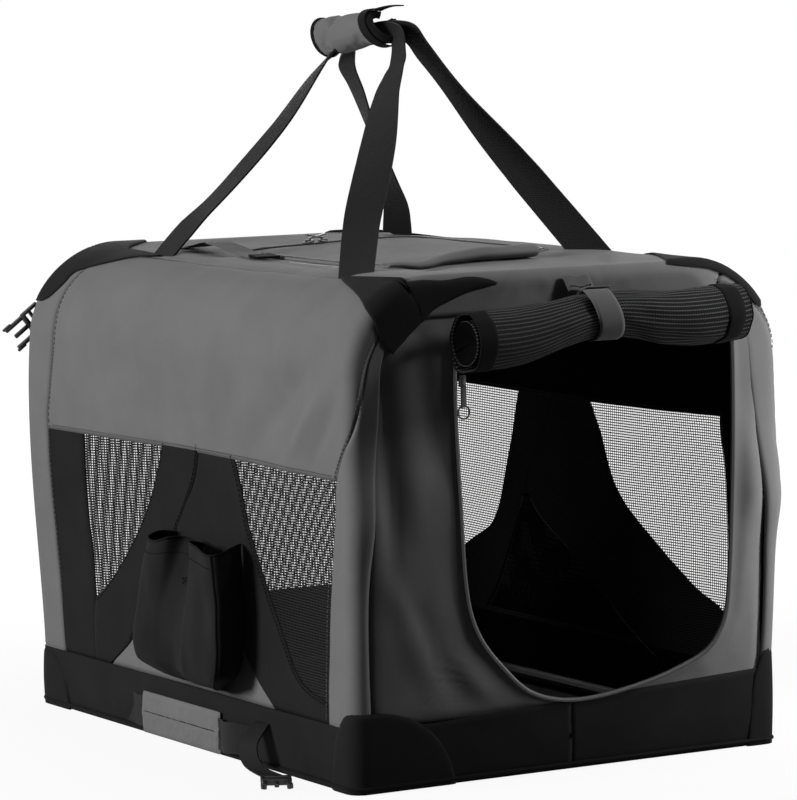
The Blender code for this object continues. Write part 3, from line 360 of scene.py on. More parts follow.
def shellPoint(run, along, lift=0.0):
    spot, out = hoopLine(run)
    end = 1 if along > 0 else -1
    past = abs(along) - hoopY
    reach = crate["skin"] + lift
    if end < 0:
        reach += kneeBulge(spot.z) * smoothShare((past + 0.004) / 0.02)
    if past <= 0:
        spot.y = along
        edge = smoothShare(-past / 0.012)
        return sprawl(spot + out * (reach + slack(run, along) * edge))
    turn = min(past / crate["skin"], math.pi / 2)
    spot.y = end * hoopY
    point = spot + out * reach * math.cos(turn) + Vector((0, end * reach * math.sin(turn), 0))
    return sprawl(point - out * max(past - turnRun, 0.0))


# Making pieces
def routeAt(points, share):  # a point at a share of a smooth line's length
    points = [Vector(p) for p in points]
    if len(points) == 2:
        return points[0].lerp(points[1], share)
    lengths = [(b - a).length for a, b in zip(points, points[1:])]
    target = share * sum(lengths)
    index = 0
    while index < len(lengths) - 1 and target > lengths[index]:
        target -= lengths[index]
        index += 1
    part = min(target / lengths[index], 1.0) if lengths[index] else 0.0
    before = points[max(index - 1, 0)]
    start, end = points[index], points[index + 1]
    after = points[min(index + 2, len(points) - 1)]
    square, cube = part * part, part * part * part
    return (start * 2 + (end - before) * part
            + (before * 2 - start * 5 + end * 4 - after) * square
            + (start * 3 - before - end * 3 + after) * cube) / 2


def clothGrid(columns, rows, place, size=(1.0, 1.0), closed=False):
    bm = bmesh.new()
    layer = bm.loops.layers.uv.new("cloth")
    bmesh.ops.create_grid(bm, x_segments=columns, y_segments=rows, size=0.5)
    spots = {vert: (vert.co.x + 0.5, vert.co.y + 0.5) for vert in bm.verts}
    for face in bm.faces:
        for loop in face.loops:
            u, v = spots[loop.vert]
            loop[layer].uv = (u * size[0], v * size[1])
    for vert, (u, v) in spots.items():
        vert.co = place(u, v)
    if closed:
        bmesh.ops.remove_doubles(bm, verts=bm.verts, dist=1e-5)
    return bm


def faceOut(bm, centre):  # turn an open sheet's faces away from a point
    bm.normal_update()
    total = sum(face.normal.dot(face.calc_center_median() - centre) * face.calc_area()
                for face in bm.faces)
    if total < 0:
        bmesh.ops.reverse_faces(bm, faces=bm.faces)


middle = Vector((0, 0, 0.25))  # the walls' faces point away from here


def newPiece(name, bm, finish, replaces=(), out=middle, wall=0.0, backing=None, angle=40):
    if out is None:
        bmesh.ops.recalc_face_normals(bm, faces=bm.faces)
    else:
        faceOut(bm, out)
    mesh = bpy.data.meshes.new(name)
    bm.to_mesh(mesh)
    bm.free()
    mesh.shade_smooth()
    mesh.set_sharp_from_angle(angle=math.radians(angle))
    mesh.materials.append(cloth[finish])
    piece = bpy.data.objects.new(name, mesh)
    bpy.context.scene.collection.objects.link(piece)
    if wall:
        thick = piece.modifiers.new("thickness", "SOLIDIFY")
        thick.thickness, thick.offset = wall, -1.0
        if backing:
            mesh.materials.append(cloth[backing])
            thick.material_offset = 1
    if replaces:
        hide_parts(*replaces)
    return piece


def addPiece(name, bm, finish, body, replaces=(), out=middle, wall=0.0, backing=None,
             folds=False, angle=40):
    # a piece that rides one body; the walls' pieces get their own copy of the mesh
    piece = newPiece(name, bm, finish, replaces, out, wall, backing, angle)
    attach(piece, body)
    if folds:
        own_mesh(piece)
    return piece


def addEndPiece(name, bm, finish, replaces=(), out=middle, wall=0.0, backing=None):
    # a piece of the front or rear wall, with its placing baked into the mesh
    piece = newPiece(name, bm, finish, replaces, out, wall, backing)
    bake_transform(piece)
    return piece


def alongAt(line, run):  # a smooth line of (run, along) points, read at one run
    points = sorted(line)
    run = min(max(run, points[0][0]), points[-1][0])
    index = 0
    while index < len(points) - 2 and run > points[index + 1][0]:
        index += 1
    start, end = points[index], points[index + 1]
    before, after = points[max(index - 1, 0)], points[min(index + 2, len(points) - 1)]
    span = end[0] - start[0]
    share = (run - start[0]) / span
    slopeStart = (end[1] - before[1]) / (end[0] - before[0]) * span
    slopeEnd = (after[1] - start[1]) / (after[0] - start[0]) * span
    square, cube = share * share, share ** 3
    return (start[1] * (2 * cube - 3 * square + 1) + slopeStart * (cube - 2 * square + share)
            + end[1] * (3 * square - 2 * cube) + slopeEnd * (cube - square))


def wallPanel(name, edgeA, edgeB, low, high, finish, side, replaces=(), lift=0.0,
              wall=0.0012, backing="shadedLining", folds=True):
    # cloth of a wall between two lines, from one run to another; its cut edges are turned in
    length = high - low
    rows = max(3, round(length / drape["face"]))
    widths = [abs(alongAt(edgeA, low + length * i / rows) - alongAt(edgeB, low + length * i / rows))
              for i in range(rows + 1)]
    columns = max(4, round(max(widths) / drape["face"]))

    def place(u, v):
        run = low + length * v
        along = alongAt(edgeA, run) * (1 - u) + alongAt(edgeB, run) * u
        edge = min(min(u, 1 - u) * max(widths), min(v, 1 - v) * length)
        drop = drape["hem"] * (1 - smoothShare(edge / drape["hemWidth"]))
        return shellPoint(run if side < 0 else 2 * halfRun - run, along, lift - drop)

    bm = clothGrid(columns, rows, place, (max(widths), length))
    piece = addPiece(name, bm, finish, "base", replaces, middle, wall, backing, folds)
    return piece


def tubeMesh(points, radius, cyclic=False, bm=None):
    # a round bar or piping along a line of points, added to a mesh where one is given
    curve = bpy.data.curves.new("line", "CURVE")
    curve.dimensions, curve.use_fill_caps = "3D", not cyclic
    curve.bevel_depth, curve.bevel_resolution = radius, 1
    spline = curve.splines.new("POLY")
    spline.points.add(len(points) - 1)
    for spot, point in zip(spline.points, points):
        spot.co = (*point, 1)
    spline.use_cyclic_u = cyclic
    holder = bpy.data.objects.new("line", curve)
    bm = bm or bmesh.new()
    bm.from_mesh(holder.to_mesh())
    bpy.data.objects.remove(holder)
    bpy.data.curves.remove(curve)
    bmesh.ops.remove_doubles(bm, verts=bm.verts, dist=1e-6)
    return bm


def tube(name, points, radius, finish, body, folds=False, cyclic=False):
    return addPiece(name, tubeMesh(points, radius, cyclic), finish, body, (), None,
                    folds=folds)


def stitches(name, lines, body, finish="binding", pitch=0.005, folds=False, lift=0.0004):
    # rows of lock stitches: short rounded bars that stand just proud of the cloth
    bm = bmesh.new()
    for points in lines:
        total = sum((Vector(b) - Vector(a)).length for a, b in zip(points, points[1:]))
        count = max(2, round(total / pitch))
        for index in range(count):
            start = routeAt(points, (index + 0.2) / count)
            end = routeAt(points, (index + 0.8) / count)
            if len(start) == 2:
                start = shellPoint(start[0], start[1], lift)
                end = shellPoint(end[0], end[1], lift)
            span = end - start
            turn = span.to_track_quat("Z", "Y").to_matrix().to_4x4()
            bmesh.ops.create_cone(
                bm, cap_ends=True, segments=5, radius1=0.0005, radius2=0.0005,
                depth=span.length, matrix=Matrix.Translation((start + end) / 2) @ turn)
    return addPiece(name, bm, finish, body, (), None, folds=folds)


wadding = {"quality": 6, "mass": 0.08, "stiffness": 18, "bending": 0.4, "shrink": -0.10,
           "steps": 20, "smoothing": 6}


def padded(bm, isHeld, pressure, reach, voxel):
    mesh = bpy.data.meshes.new("padding")
    bm.to_mesh(mesh)
    bm.free()
    work = bpy.data.objects.new("padding", mesh)
    scene = bpy.context.scene
    scene.collection.objects.link(work)
    shell = work.modifiers.new("evenFaces", "REMESH")
    shell.mode, shell.voxel_size = "VOXEL", voxel
    view = bpy.context.evaluated_depsgraph_get()
    even = bpy.data.meshes.new_from_object(work.evaluated_get(view))
    work.modifiers.remove(shell)
    work.data = even
    before = [vert.co.copy() for vert in even.vertices]
    held = work.vertex_groups.new(name="held")
    held.add([i for i, spot in enumerate(before) if isHeld(spot)], 1.0, "REPLACE")
    rule = work.modifiers.new("wadding", "CLOTH").settings
    rule.quality, rule.mass = wadding["quality"], wadding["mass"]
    rule.tension_stiffness = rule.compression_stiffness = wadding["stiffness"]
    rule.bending_stiffness, rule.shrink_min = wadding["bending"], wadding["shrink"]
    rule.use_pressure, rule.uniform_pressure_force = True, pressure
    rule.effector_weights.gravity = 0
    rule.vertex_group_mass = "held"
    for step in range(1, wadding["steps"] + 1):
        scene.frame_set(step)
    puffed = work.evaluated_get(bpy.context.evaluated_depsgraph_get()).to_mesh()
    bm = bmesh.new()
    bm.from_mesh(puffed)
    for vert, start in zip(bm.verts, before):
        move = vert.co - start
        if move.length > reach:
            vert.co = start + move.normalized() * reach
    bmesh.ops.subdivide_edges(bm, edges=bm.edges, cuts=1, use_grid_fill=True)
    for _ in range(wadding["smoothing"]):  # the cover is taut, without the remesh's steps
        bmesh.ops.smooth_vert(bm, verts=bm.verts, factor=0.5, use_axis_x=True, use_axis_y=True,
                              use_axis_z=True)
    bpy.data.objects.remove(work)
    scene.frame_set(1)
    return bm


# Side walls: a grey upper part, a black A between two mesh windows, grey bands at the ends
# Lines are (height or run, along); the right wall's windows sit further to the rear
leftWall = {
    "rearSeam": [(0, 0.288), (0.12, 0.2945), (0.32, 0.297), (0.41, 0.287), (0.48, 0.290),
                 (0.53, 0.278)],
    "frontSeam": [(0, -0.310), (0.07, -0.299), (0.16, -0.303), (0.27, -0.317), (0.32, -0.323),
                  (0.37, -0.350), (0.45, -0.367), (0.53, -0.370)],
    "edge": 0.318,
    "rearWindow": [(0.132, 0.220), (0.153, 0.192), (0.204, 0.144), (0.260, 0.105), (0.32, 0.078)],
    "rearBorder": [(0.06, 0.2195), (0.132, 0.2205), (0.24, 0.229), (0.32, 0.231)],
    "frontWindow": [(0.084, -0.300), (0.098, -0.245), (0.135, -0.204), (0.186, -0.157),
                    (0.247, -0.113), (0.32, -0.081)],
    "frontBorder": [(0.06, -0.299), (0.16, -0.303), (0.32, -0.323)],
    "rearLeg": [(0.060, 0.192), (0.098, 0.139), (0.150, 0.100), (0.230, 0.051), (0.280, 0.015),
                (0.325, -0.003)],
    "frontLeg": [(0.060, -0.190), (0.098, -0.127), (0.150, -0.066), (0.222, 0.055),
                 (0.280, 0.016), (0.325, -0.002)],
}
rightWall = {
    "rearSeam": [(0, 0.298), (0.12, 0.302), (0.32, 0.303), (0.42, 0.292), (0.53, 0.280)],
    "frontSeam": [(0, -0.306), (0.16, -0.305), (0.32, -0.314), (0.42, -0.345), (0.53, -0.366)],
    "edge": 0.343,
    "rearWindow": [(0.136, 0.271), (0.154, 0.247), (0.183, 0.191), (0.256, 0.153), (0.345, 0.128)],
    "rearBorder": [(0.06, 0.270), (0.136, 0.272), (0.24, 0.290), (0.345, 0.292)],
    "frontWindow": [(0.130, -0.258), (0.150, -0.212), (0.196, -0.142), (0.246, -0.084),
                    (0.306, -0.050), (0.345, -0.023)],
    "frontBorder": [(0.06, -0.258), (0.160, -0.264), (0.240, -0.262), (0.345, -0.249)],
    "rearLeg": [(0.060, 0.240), (0.098, 0.192), (0.150, 0.155), (0.230, 0.106), (0.300, 0.068),
                (0.350, 0.052)],
    "frontLeg": [(0.060, -0.140), (0.098, -0.075), (0.150, -0.012), (0.222, 0.108),
                 (0.300, 0.068), (0.350, 0.053)],
}


def shifted(line, amount):
    return [(run, along + amount) for run, along in line]


def sideWall(label, wall, side):
    hem, seamRun = 0.064, 0.526
    edge = wall["edge"]
    wallPanel(label + "WallUpper", wall["rearSeam"], wall["frontSeam"], edge - 0.002, seamRun,
              "grey", side, ["side_upper_" + label], lift=0.0007)
    rearBand = [(0, 0.3685), (0.28, 0.3690), (0.53, 0.3700)]
    frontBand = [(0, -0.3665), (0.17, -0.3625), (0.28, -0.3685), (0.415, -0.380), (0.53, -0.380)]
    for name, seam, band in (("BandRear", wall["rearSeam"], rearBand),
                             ("BandFront", wall["frontSeam"], frontBand)):
        wallPanel(label + name, seam, band, hem, seamRun, "grey", side,
                  lift=0.0010)
        wallPanel(label + name + "Foot", seam, band, 0.0, hem + 0.008, "grey",
                  side, lift=0.0006, folds=False)
    rearTip = min(run for run, along in wall["rearWindow"])
    corner = alongAt(wall["rearBorder"], rearTip)
    rearEdge = [(hem - 0.01, corner), (rearTip, corner)] + wall["rearWindow"][1:]
    frontTip = min(run for run, along in wall["frontWindow"])
    frontEdge = [(hem - 0.01, alongAt(wall["frontWindow"], frontTip) - 0.004)] \
        + wall["frontWindow"]
    high = edge + 0.003
    wallPanel(label + "BorderRear", shifted(wall["rearSeam"], 0.004), wall["rearBorder"], hem,
              high, "black", side, ["side_lower_" + label], lift=-0.0004)
    wallPanel(label + "LegRear", rearEdge, wall["rearLeg"], hem, high, "black",
              side, lift=0.0004)
    wallPanel(label + "LegFront", frontEdge, wall["frontLeg"], hem, high, "black",
              side, lift=-0.0005)
    wallPanel(label + "KickPanel", shifted(wall["rearLeg"], 0.006),
              shifted(wall["frontLeg"], -0.008), hem, 0.226, "grey", side,
              lift=-0.0014)
    if side > 0:
        wallPanel(label + "BorderFront", wall["frontBorder"], shifted(wall["frontSeam"], -0.004),
                  hem, high, "black", side, lift=-0.0006)
    mesh = "window" if side > 0 else "sideWindow"  # the near net looks denser
    wallPanel(label + "WindowMesh", shifted(wall["rearBorder"], 0.010),
              shifted(wall["frontBorder"], -0.006), 0.076, edge + 0.004, mesh, side,
              ["side_net_" + label], lift=-0.0026, wall=0.0, backing=None)

    def here(line, amount):  # a seam's line moved along the wall, on this side of the crate
        return [(run if side < 0 else 2 * halfRun - run, along + amount) for run, along in line]

    top = [(edge + 0.003, 0.286), (edge + 0.003, -0.312)]
    stitches(label + "WallStitches", [here(wall["rearSeam"][1:], -0.004),
                                      here(wall["frontSeam"][1:], 0.004), here(top, 0)],
             "base", "greyTape", folds=True, lift=0.0010)
    stitches(label + "WindowStitches", [here(wall["rearLeg"][1:], 0.004),
                                        here(wall["rearWindow"], -0.004),
                                        here(wall["frontWindow"], 0.004)],
             "base", folds=True, lift=0.0008)


sideWall("left", leftWall, -1)
sideWall("right", rightWall, 1)
print("side walls sewn")


# Outlines in a plane
def rounded(left, right, low, high, corner, steps=8):  # a rectangle with round corners
    points = []
    for x, y, start in ((right - corner, high - corner, 0), (left + corner, high - corner, 90),
                        (left + corner, low + corner, 180), (right - corner, low + corner, 270)):
        for index in range(steps + 1):
            turn = math.radians(start + 90 * index / steps)
            points.append(Vector((x + corner * math.cos(turn), y + corner * math.sin(turn))))
    return points


def smoothLoop(points, steps=120):  # a closed line through a few points
    closed = points + points[:1]
    return [routeAt(closed, index / steps) for index in range(steps)]


def rayTo(outline, heart, angle):  # where a ray from inside meets a closed outline
    ahead = Vector((math.cos(angle), math.sin(angle)))
    far = 0.0
    for start, end in zip(outline, outline[1:] + outline[:1]):
        span, offset = end - start, start - heart
        turn = ahead.cross(span)
        if abs(turn) > 1e-12:
            part = offset.cross(ahead) / turn
            if -1e-6 <= part <= 1 + 1e-6:
                far = max(far, offset.cross(span) / turn)
    return heart + ahead * far


# Roof and its zipped hatch
roof = {"seam": 0.526, "frontLip": -0.386, "rearLip": 0.384,
        "hatch": (-0.108, 0.108, -0.165, 0.155), "hatchCorner": 0.045}


def roofSpot(x, y, lift=0.0):  # a point on the roof cloth
    return shellPoint(halfRun + x, y, lift)


def roofPanel():
    low, high = roof["seam"], 2 * halfRun - roof["seam"]
    front, rear = roof["frontLip"], roof["rearLip"]
    span, length = high - low, rear - front

    def place(u, v):
        run, along = low + span * u, front + length * v
        edge = min(u, 1 - u) * span
        drop = 0.0014 * (1 - smoothShare(edge / 0.008))
        nearFront = math.exp(-((along + 0.356) / 0.012) ** 2)
        nearFront *= smoothShare((min(u, 1 - u) * span - 0.07) / 0.05)
        lumps = 0.6 + noise.noise(Vector((run * 26, 4.0, along * 20)))
        ripple = noise.noise(Vector((run * 70, 1.0, along * 50)))
        return shellPoint(run, along, 0.0006 - drop + nearFront * (0.0030 * lumps + 0.002 * ripple))

    bm = clothGrid(round(span / 0.005), round(length / 0.005), place, (span, length))
    piece = addPiece("roofCloth", bm, "grey", "top", ["roof_panel"], middle,
                     0.0012, "shadedLining")


def roofHatch():
    left, right, front, rear = roof["hatch"]
    outline = rounded(left, right, front, rear, roof["hatchCorner"])
    heart = Vector(((left + right) / 2, (front + rear) / 2))
    rays = 96
    edges = [rayTo(outline, heart, 2 * math.pi * index / rays) for index in range(rays)]

    def place(u, v):
        spot = heart.lerp(edges[round(u * rays) % rays], v)
        return roofSpot(spot.x, spot.y, 0.0012 + 0.003 * (1 - v ** 4))

    bm = clothGrid(rays, 26, place, closed=True)
    piece = addPiece("hatchCloth", bm, "grey", "hatch", ["roof_hatch"], middle,
                     0.001, "shadedLining")

    def ringAt(grow, lift):
        ring = rounded(left - grow, right + grow, front - grow, rear + grow,
                       roof["hatchCorner"] + grow, 10)
        corners = [roofSpot(p.x, p.y, lift) for p in ring]
        return [routeAt(corners + corners[:1], index / 150) for index in range(150)]

    tube("hatchZipCoil", ringAt(0.003, 0.0020), 0.0013, "coil", "top",
         cyclic=True)
    tube("hatchZipWelt", ringAt(0.008, 0.0008), 0.0018, "grey", "top",
         cyclic=True)


roofPanel()
roofHatch()
print("roof and hatch laid")


# Front and rear walls: one cloth each, between its hoop and its opening, as (x, z) outlines
endWalls = {
    "front": {
        "sign": -1, "heart": Vector((0.03, 0.26)), "seam": 0.0040, "lip": 0.0030,
        "opening": smoothLoop([(-0.112, 0.464), (-0.137, 0.440), (-0.133, 0.290),
                               (-0.121, 0.170), (-0.076, 0.106), (-0.034, 0.079),
                               (0.029, 0.073), (0.126, 0.091), (0.184, 0.123), (0.201, 0.200),
                               (0.205, 0.440), (0.182, 0.464)]),
        "area": 0.1030,
        "folds": [  # (x, z) to (x, z), half width, height out
            ((-0.215, 0.215), (-0.165, 0.095), 0.012, 0.0030),
            ((-0.190, 0.190), (-0.135, 0.092), 0.010, -0.0030),
            ((-0.165, 0.150), (-0.100, 0.084), 0.010, 0.0030),
            ((-0.226, 0.470), (-0.212, 0.240), 0.010, -0.0050),
            ((-0.206, 0.460), (-0.182, 0.270), 0.014, 0.0030),
            ((-0.178, 0.470), (-0.160, 0.330), 0.012, -0.0035),
            ((-0.030, 0.074), (0.060, 0.070), 0.006, 0.0030),
            ((0.225, 0.330), (0.215, 0.160), 0.012, 0.0030),
            ((0.215, 0.140), (0.160, 0.088), 0.010, 0.0030)],
    },
    "rear": {
        "sign": 1, "heart": Vector((0.0, 0.266)), "seam": 0.0015, "lip": 0.0010,
        "opening": rounded(-0.205, 0.205, 0.102, 0.430, 0.024),
        "area": 0.0730,
        "folds": [((-0.200, 0.080), (0.180, 0.086), 0.008, 0.0020),
                  ((-0.150, 0.490), (0.160, 0.470), 0.012, -0.0020),
                  ((0.222, 0.440), (0.220, 0.140), 0.006, 0.0015)],
    },
}


def hoopOutline(inset, low, steps=120):
    # up one leg of a hoop, over the top and down the other, inset from its centre line
    points = []
    for index in range(steps + 1):
        spot, out = hoopLine(low + (2 * halfRun - 2 * low) * index / steps)
        points.append(Vector((spot.x - out.x * inset, spot.z - out.z * inset)))
    return points


def framedWall(end):
    wall, columns, rows = endWalls[end], 220, 14
    outer = hoopOutline(0.006, crate["skirt"] - 0.006)
    rays = []
    for index in range(columns):
        angle = 2 * math.pi * (index + 0.5) / columns
        rays.append([rayTo(line, wall["heart"], angle) for line in (outer, wall["opening"])])

    def place(u, v):
        start, stop = rays[round(u * columns) % columns]
        width = (start - stop).length
        x, z = start.lerp(stop, v)
        hold = smoothShare(min(v, 1 - v) * width / 0.018)
        out = foldHeight(x, z, wall["folds"])
        out += noise.noise(Vector((x * 12, z * 10, 5.5))) * 0.003
        out += noise.noise(Vector((x * 34, z * 30, 1.5))) * 0.0010
        out = out * (0.15 + 0.85 * hold) - 0.0010
        out -= wall["seam"] * math.exp(-(v * width / 0.007) ** 2)
        out += wall["lip"] * math.exp(-((1 - v) * width / 0.009) ** 2)
        if end == "front":
            out += kneeBulge(z) * smoothShare((abs(x) - 0.205) / 0.03)
        return sprawl(Vector((x, wall["sign"] * (crate["halfLength"] + out), z)))

    bm = clothGrid(columns, rows, place, closed=True)
    piece = addEndPiece(end + "Cloth", bm, "grey",
                        [end + "_panel_lower", end + "_panel_upper"], middle, 0.0012, "shadedLining")
    return [place(index / columns, 1.0) for index in range(columns)]


doorEdge = framedWall("front")
coil = [spot + Vector((0, -0.0006, 0)) for spot in doorEdge]
addEndPiece("doorZipCoil", tubeMesh(coil, 0.0024, True), "coil", (),
            None)
framedWall("rear")


def rearWindow():
    left, right, low, high = -0.214, 0.214, 0.093, 0.439

    def place(u, v):
        bow = 0.004 * math.sin(math.pi * u) * math.sin(math.pi * v)
        return sprawl(Vector((left + (right - left) * u, crate["halfLength"] - 0.003 - bow,
                              low + (high - low) * v)))

    bm = clothGrid(60, 48, place, (right - left, high - low))
    piece = addEndPiece("rearWindowMesh", bm, "window")


rearWindow()
print("front and rear walls sewn")


# Base band, boots and corner patches
def perimeter(share, grow=0.0):  # once round the base from the middle of the front, to the right
    reach = crate["skin"] + grow
    arc = math.pi / 2 * crate["skin"]
    travel = (share % 1.0) * (4 * legX + 4 * hoopY + 4 * arc)
    if travel < legX:
        return Vector((travel, -hoopY - reach, 0)), Vector((0, -1, 0))
    travel -= legX
    corners = [(legX, -hoopY, 2 * hoopY), (legX, hoopY, 2 * legX), (-legX, hoopY, 2 * hoopY),
               (-legX, -hoopY, legX)]
    for index, (x, y, length) in enumerate(corners):
        first = math.radians(90 * index - 90)
        if travel < arc:
            turn = first + travel / crate["skin"]
            out = Vector((math.cos(turn), math.sin(turn), 0))
            return Vector((x, y, 0)) + out * reach, out
        travel -= arc
        if travel < length or index == 3:
            out = Vector((math.cos(first + math.pi / 2), math.sin(first + math.pi / 2), 0))
            ahead = Vector((-out.y, out.x, 0))
            return Vector((x, y, 0)) + out * reach + ahead * travel, out
        travel -= length


def bandTop(point):  # the band's upper edge: it climbs to the right along the front
    return 0.0725 + 0.045 * point.x if point.y < -hoopY else crate["skirt"] - 0.004


def baseBand():
    def place(u, v):
        spot, out = perimeter(u, 0.0008)
        height = bandTop(spot)
        waver = noise.noise(Vector((u * 40, v * 2, 9.0))) * 0.0016 + 0.0016
        lip = 0.0010 * math.exp(-((1 - v) * height / 0.004) ** 2)
        tuck = 0.0030 * (1 - smoothShare(height * v / 0.006))
        return spot + out * (waver * math.sin(math.pi * v) + lip - tuck) \
            + Vector((0, 0, height * v))

    bm = clothGrid(420, 12, place, closed=True)
    lowest = [edge for edge in bm.edges if edge.is_boundary
              and all(vert.co.z < 0.001 for vert in edge.verts)]
    bmesh.ops.contextual_create(bm, geom=lowest)
    piece = addPiece("baseBand", bm, "black", "base", ["base_tub"], middle,
                     0.0014, "shadedLining")
    welt = [perimeter(index / 300, 0.0026)[0] + Vector((0, 0, 0.006)) for index in range(300)]
    tube("baseWelt", welt, 0.0022, "binding", "base", cyclic=True)


baseBand()


def wrapPatch(name, corners, step=0.0035):
    # a black patch sewn round an edge of the shell, inside a line of (run, along) points
    outline = smoothLoop(corners, 90)
    runs, alongs = [p[0] for p in outline], [p[1] for p in outline]
    low, high = min(runs), max(runs)

    def place(u, v):
        run = low + (high - low) * min(max(v, 0.004), 0.996)
        hits = [a[1] + (b[1] - a[1]) * (run - a[0]) / (b[0] - a[0])
                for a, b in zip(outline, outline[1:] + outline[:1])
                if (a[0] - run) * (b[0] - run) <= 0 and a[0] != b[0]]
        first, last = min(hits), max(hits)
        edge = min(min(u, 1 - u) * (last - first), min(v, 1 - v) * (high - low))
        return shellPoint(run, first + (last - first) * u,
                          0.0034 - 0.0012 * (1 - smoothShare(edge / 0.004)))

    width = max(alongs) - min(alongs)
    bm = clothGrid(max(8, round(width / step)), max(6, round((high - low) / step)), place)
    piece = addPiece(name, bm, "black", "top", (), middle, 0.0010, "shadedLining")


# Patches over the roof's corners, as (run, along): the front ones reach back to the carry loops
rearPatch = [(0.448, 0.388), (0.452, 0.345), (0.458, 0.316), (0.475, 0.300), (0.490, 0.296),
             (0.504, 0.257), (0.520, 0.205), (0.528, 0.168), (0.532, 0.215), (0.536, 0.262),
             (0.566, 0.300), (0.600, 0.345), (0.606, 0.372), (0.575, 0.388)]
wrapPatch("cornerPatchFrontLeft",
          [(0.458, -0.390), (0.464, -0.374), (0.480, -0.352), (0.498, -0.311), (0.516, -0.250),
           (0.524, -0.236), (0.529, -0.300), (0.533, -0.342), (0.540, -0.384), (0.495, -0.394)])
wrapPatch("lipPatchLeft",
          [(0.528, -0.345), (0.566, -0.350), (0.604, -0.348), (0.633, -0.356), (0.600, -0.362),
           (0.566, -0.374), (0.530, -0.388)])
wrapPatch("cornerPatchRearLeft", rearPatch)
wrapPatch("cornerPatchFrontRight",
          [(0.845, -0.346), (0.862, -0.315), (0.882, -0.270), (0.903, -0.212), (0.920, -0.205),
           (0.937, -0.275), (0.955, -0.322), (0.968, -0.352), (0.935, -0.354), (0.885, -0.352)])
wrapPatch("cornerPatchRearRight", [(2 * halfRun - run, along) for run, along in rearPatch])


bootEdge = {"proud": 0.0026, "least": 0.004, "round": 2.6, "flat": 0.55, "turnedIn": 0.0014,
            "hem": 0.005, "belly": 0.0012, "areaShare": 0.86}


def boot(label, end, side, sideReach, endReach, height):
    # reinforcing patch round a corner of the base, with a rounded top edge
    near = crate["skin"] + bootEdge["proud"]

    def topAt(travel):
        reach = (sideReach if travel < 0 else endReach) + turnRun / 2
        edge = min(abs(travel) / reach, 1.0)
        top = height * (1 - edge ** bootEdge["round"]) ** bootEdge["flat"]
        return max(top, bootEdge["least"]), (1 - edge) * reach

    def place(u, v):
        travel = -sideReach - turnRun / 2 + (sideReach + endReach + turnRun) * u
        past = abs(travel) - turnRun / 2
        if past <= 0:
            turn = math.pi / 4 * (1 + travel / (turnRun / 2))
            out = Vector((side * math.cos(turn), end * math.sin(turn), 0))
            spot = Vector((side * legX, end * hoopY, 0)) + out * near
        elif travel < 0:
            out = Vector((side, 0, 0))
            spot = Vector((side * (legX + near), end * (hoopY - past), 0))
        else:
            out = Vector((0, end, 0))
            spot = Vector((side * (legX - past), end * (hoopY + near), 0))
        top, inside = topAt(travel)
        rim = min((1 - v) * top, inside)
        drop = bootEdge["turnedIn"] * (1 - smoothShare(rim / bootEdge["hem"]))
        return spot + out * (bootEdge["belly"] * math.sin(math.pi * v) - drop) \
            + Vector((0, 0, top * v))

    bm = clothGrid(26, 16, place)
    piece = addPiece("boot" + label, bm, "black", "base",
                     ["corner_boot_%s_%s" % ("front" if end < 0 else "rear",
                                             "left" if side < 0 else "right")],
                     Vector((side * 0.2, end * 0.28, 0.05)), 0.0012, "shadedLining")


boot("FrontLeft", -1, -1, 0.030, 0.105, 0.082)
boot("FrontRight", -1, 1, 0.105, 0.024, 0.104)
boot("RearLeft", 1, -1, 0.058, 0.070, 0.064)
boot("RearRight", 1, 1, 0.070, 0.058, 0.064)
print("base band, boots and corner patches sewn")


# Rolled mesh door with its tie
doorRoll = {"left": -0.145, "right": 0.188, "leftZ": 0.4545, "rightZ": 0.4690, "radius": 0.0330,
            "turns": 1.7, "core": 0.021, "cap": 0.030, "rim": 0.020, "heartX": 0.03,
            "tieX": 0.018, "tieWidth": 0.030, "tieTurn": 330, "pinch": 0.26,
            "tab": (0.032, 0.018)}
rollY = -crate["halfLength"] - 0.002 - doorRoll["radius"]


def rollAxis(x):  # the roll's middle and how wide it is there; the tie draws it up and in
    pinch = math.exp(-((x - doorRoll["tieX"]) / 0.070) ** 2)
    share = (x - doorRoll["left"]) / (doorRoll["right"] - doorRoll["left"])
    z = doorRoll["leftZ"] + (doorRoll["rightZ"] - doorRoll["leftZ"]) * share
    return Vector((x, rollY + 0.004 * pinch, z + 0.013 * pinch)), 1 - doorRoll["pinch"] * pinch


def spiralAt(x, share, grow=0.0):  # share runs from the free edge inside to the outside
    centre, narrow = rollAxis(x)
    turn = 2 * math.pi * doorRoll["turns"] * share
    reach = doorRoll["core"] + (doorRoll["radius"] - doorRoll["core"]) * share
    near = math.exp(-((x - doorRoll["tieX"] - 0.01) / 0.07) ** 2)
    wrinkle = noise.noise(Vector((x * 16 + 1.6 * math.sin(turn), math.cos(turn) * 2.2, turn)))
    crease = noise.noise(Vector((x * 34, math.sin(turn) * 2.5, math.cos(turn) * 2.5 + 7)))
    reach = reach * narrow + (wrinkle * 0.0030 + crease * 0.0040 * near) * share + grow
    angle = turn + math.radians(75) + 0.5 * noise.noise(Vector((x * 7, 2.0, 5.0)))
    return centre + Vector((0, reach * math.cos(angle), reach * math.sin(angle)))


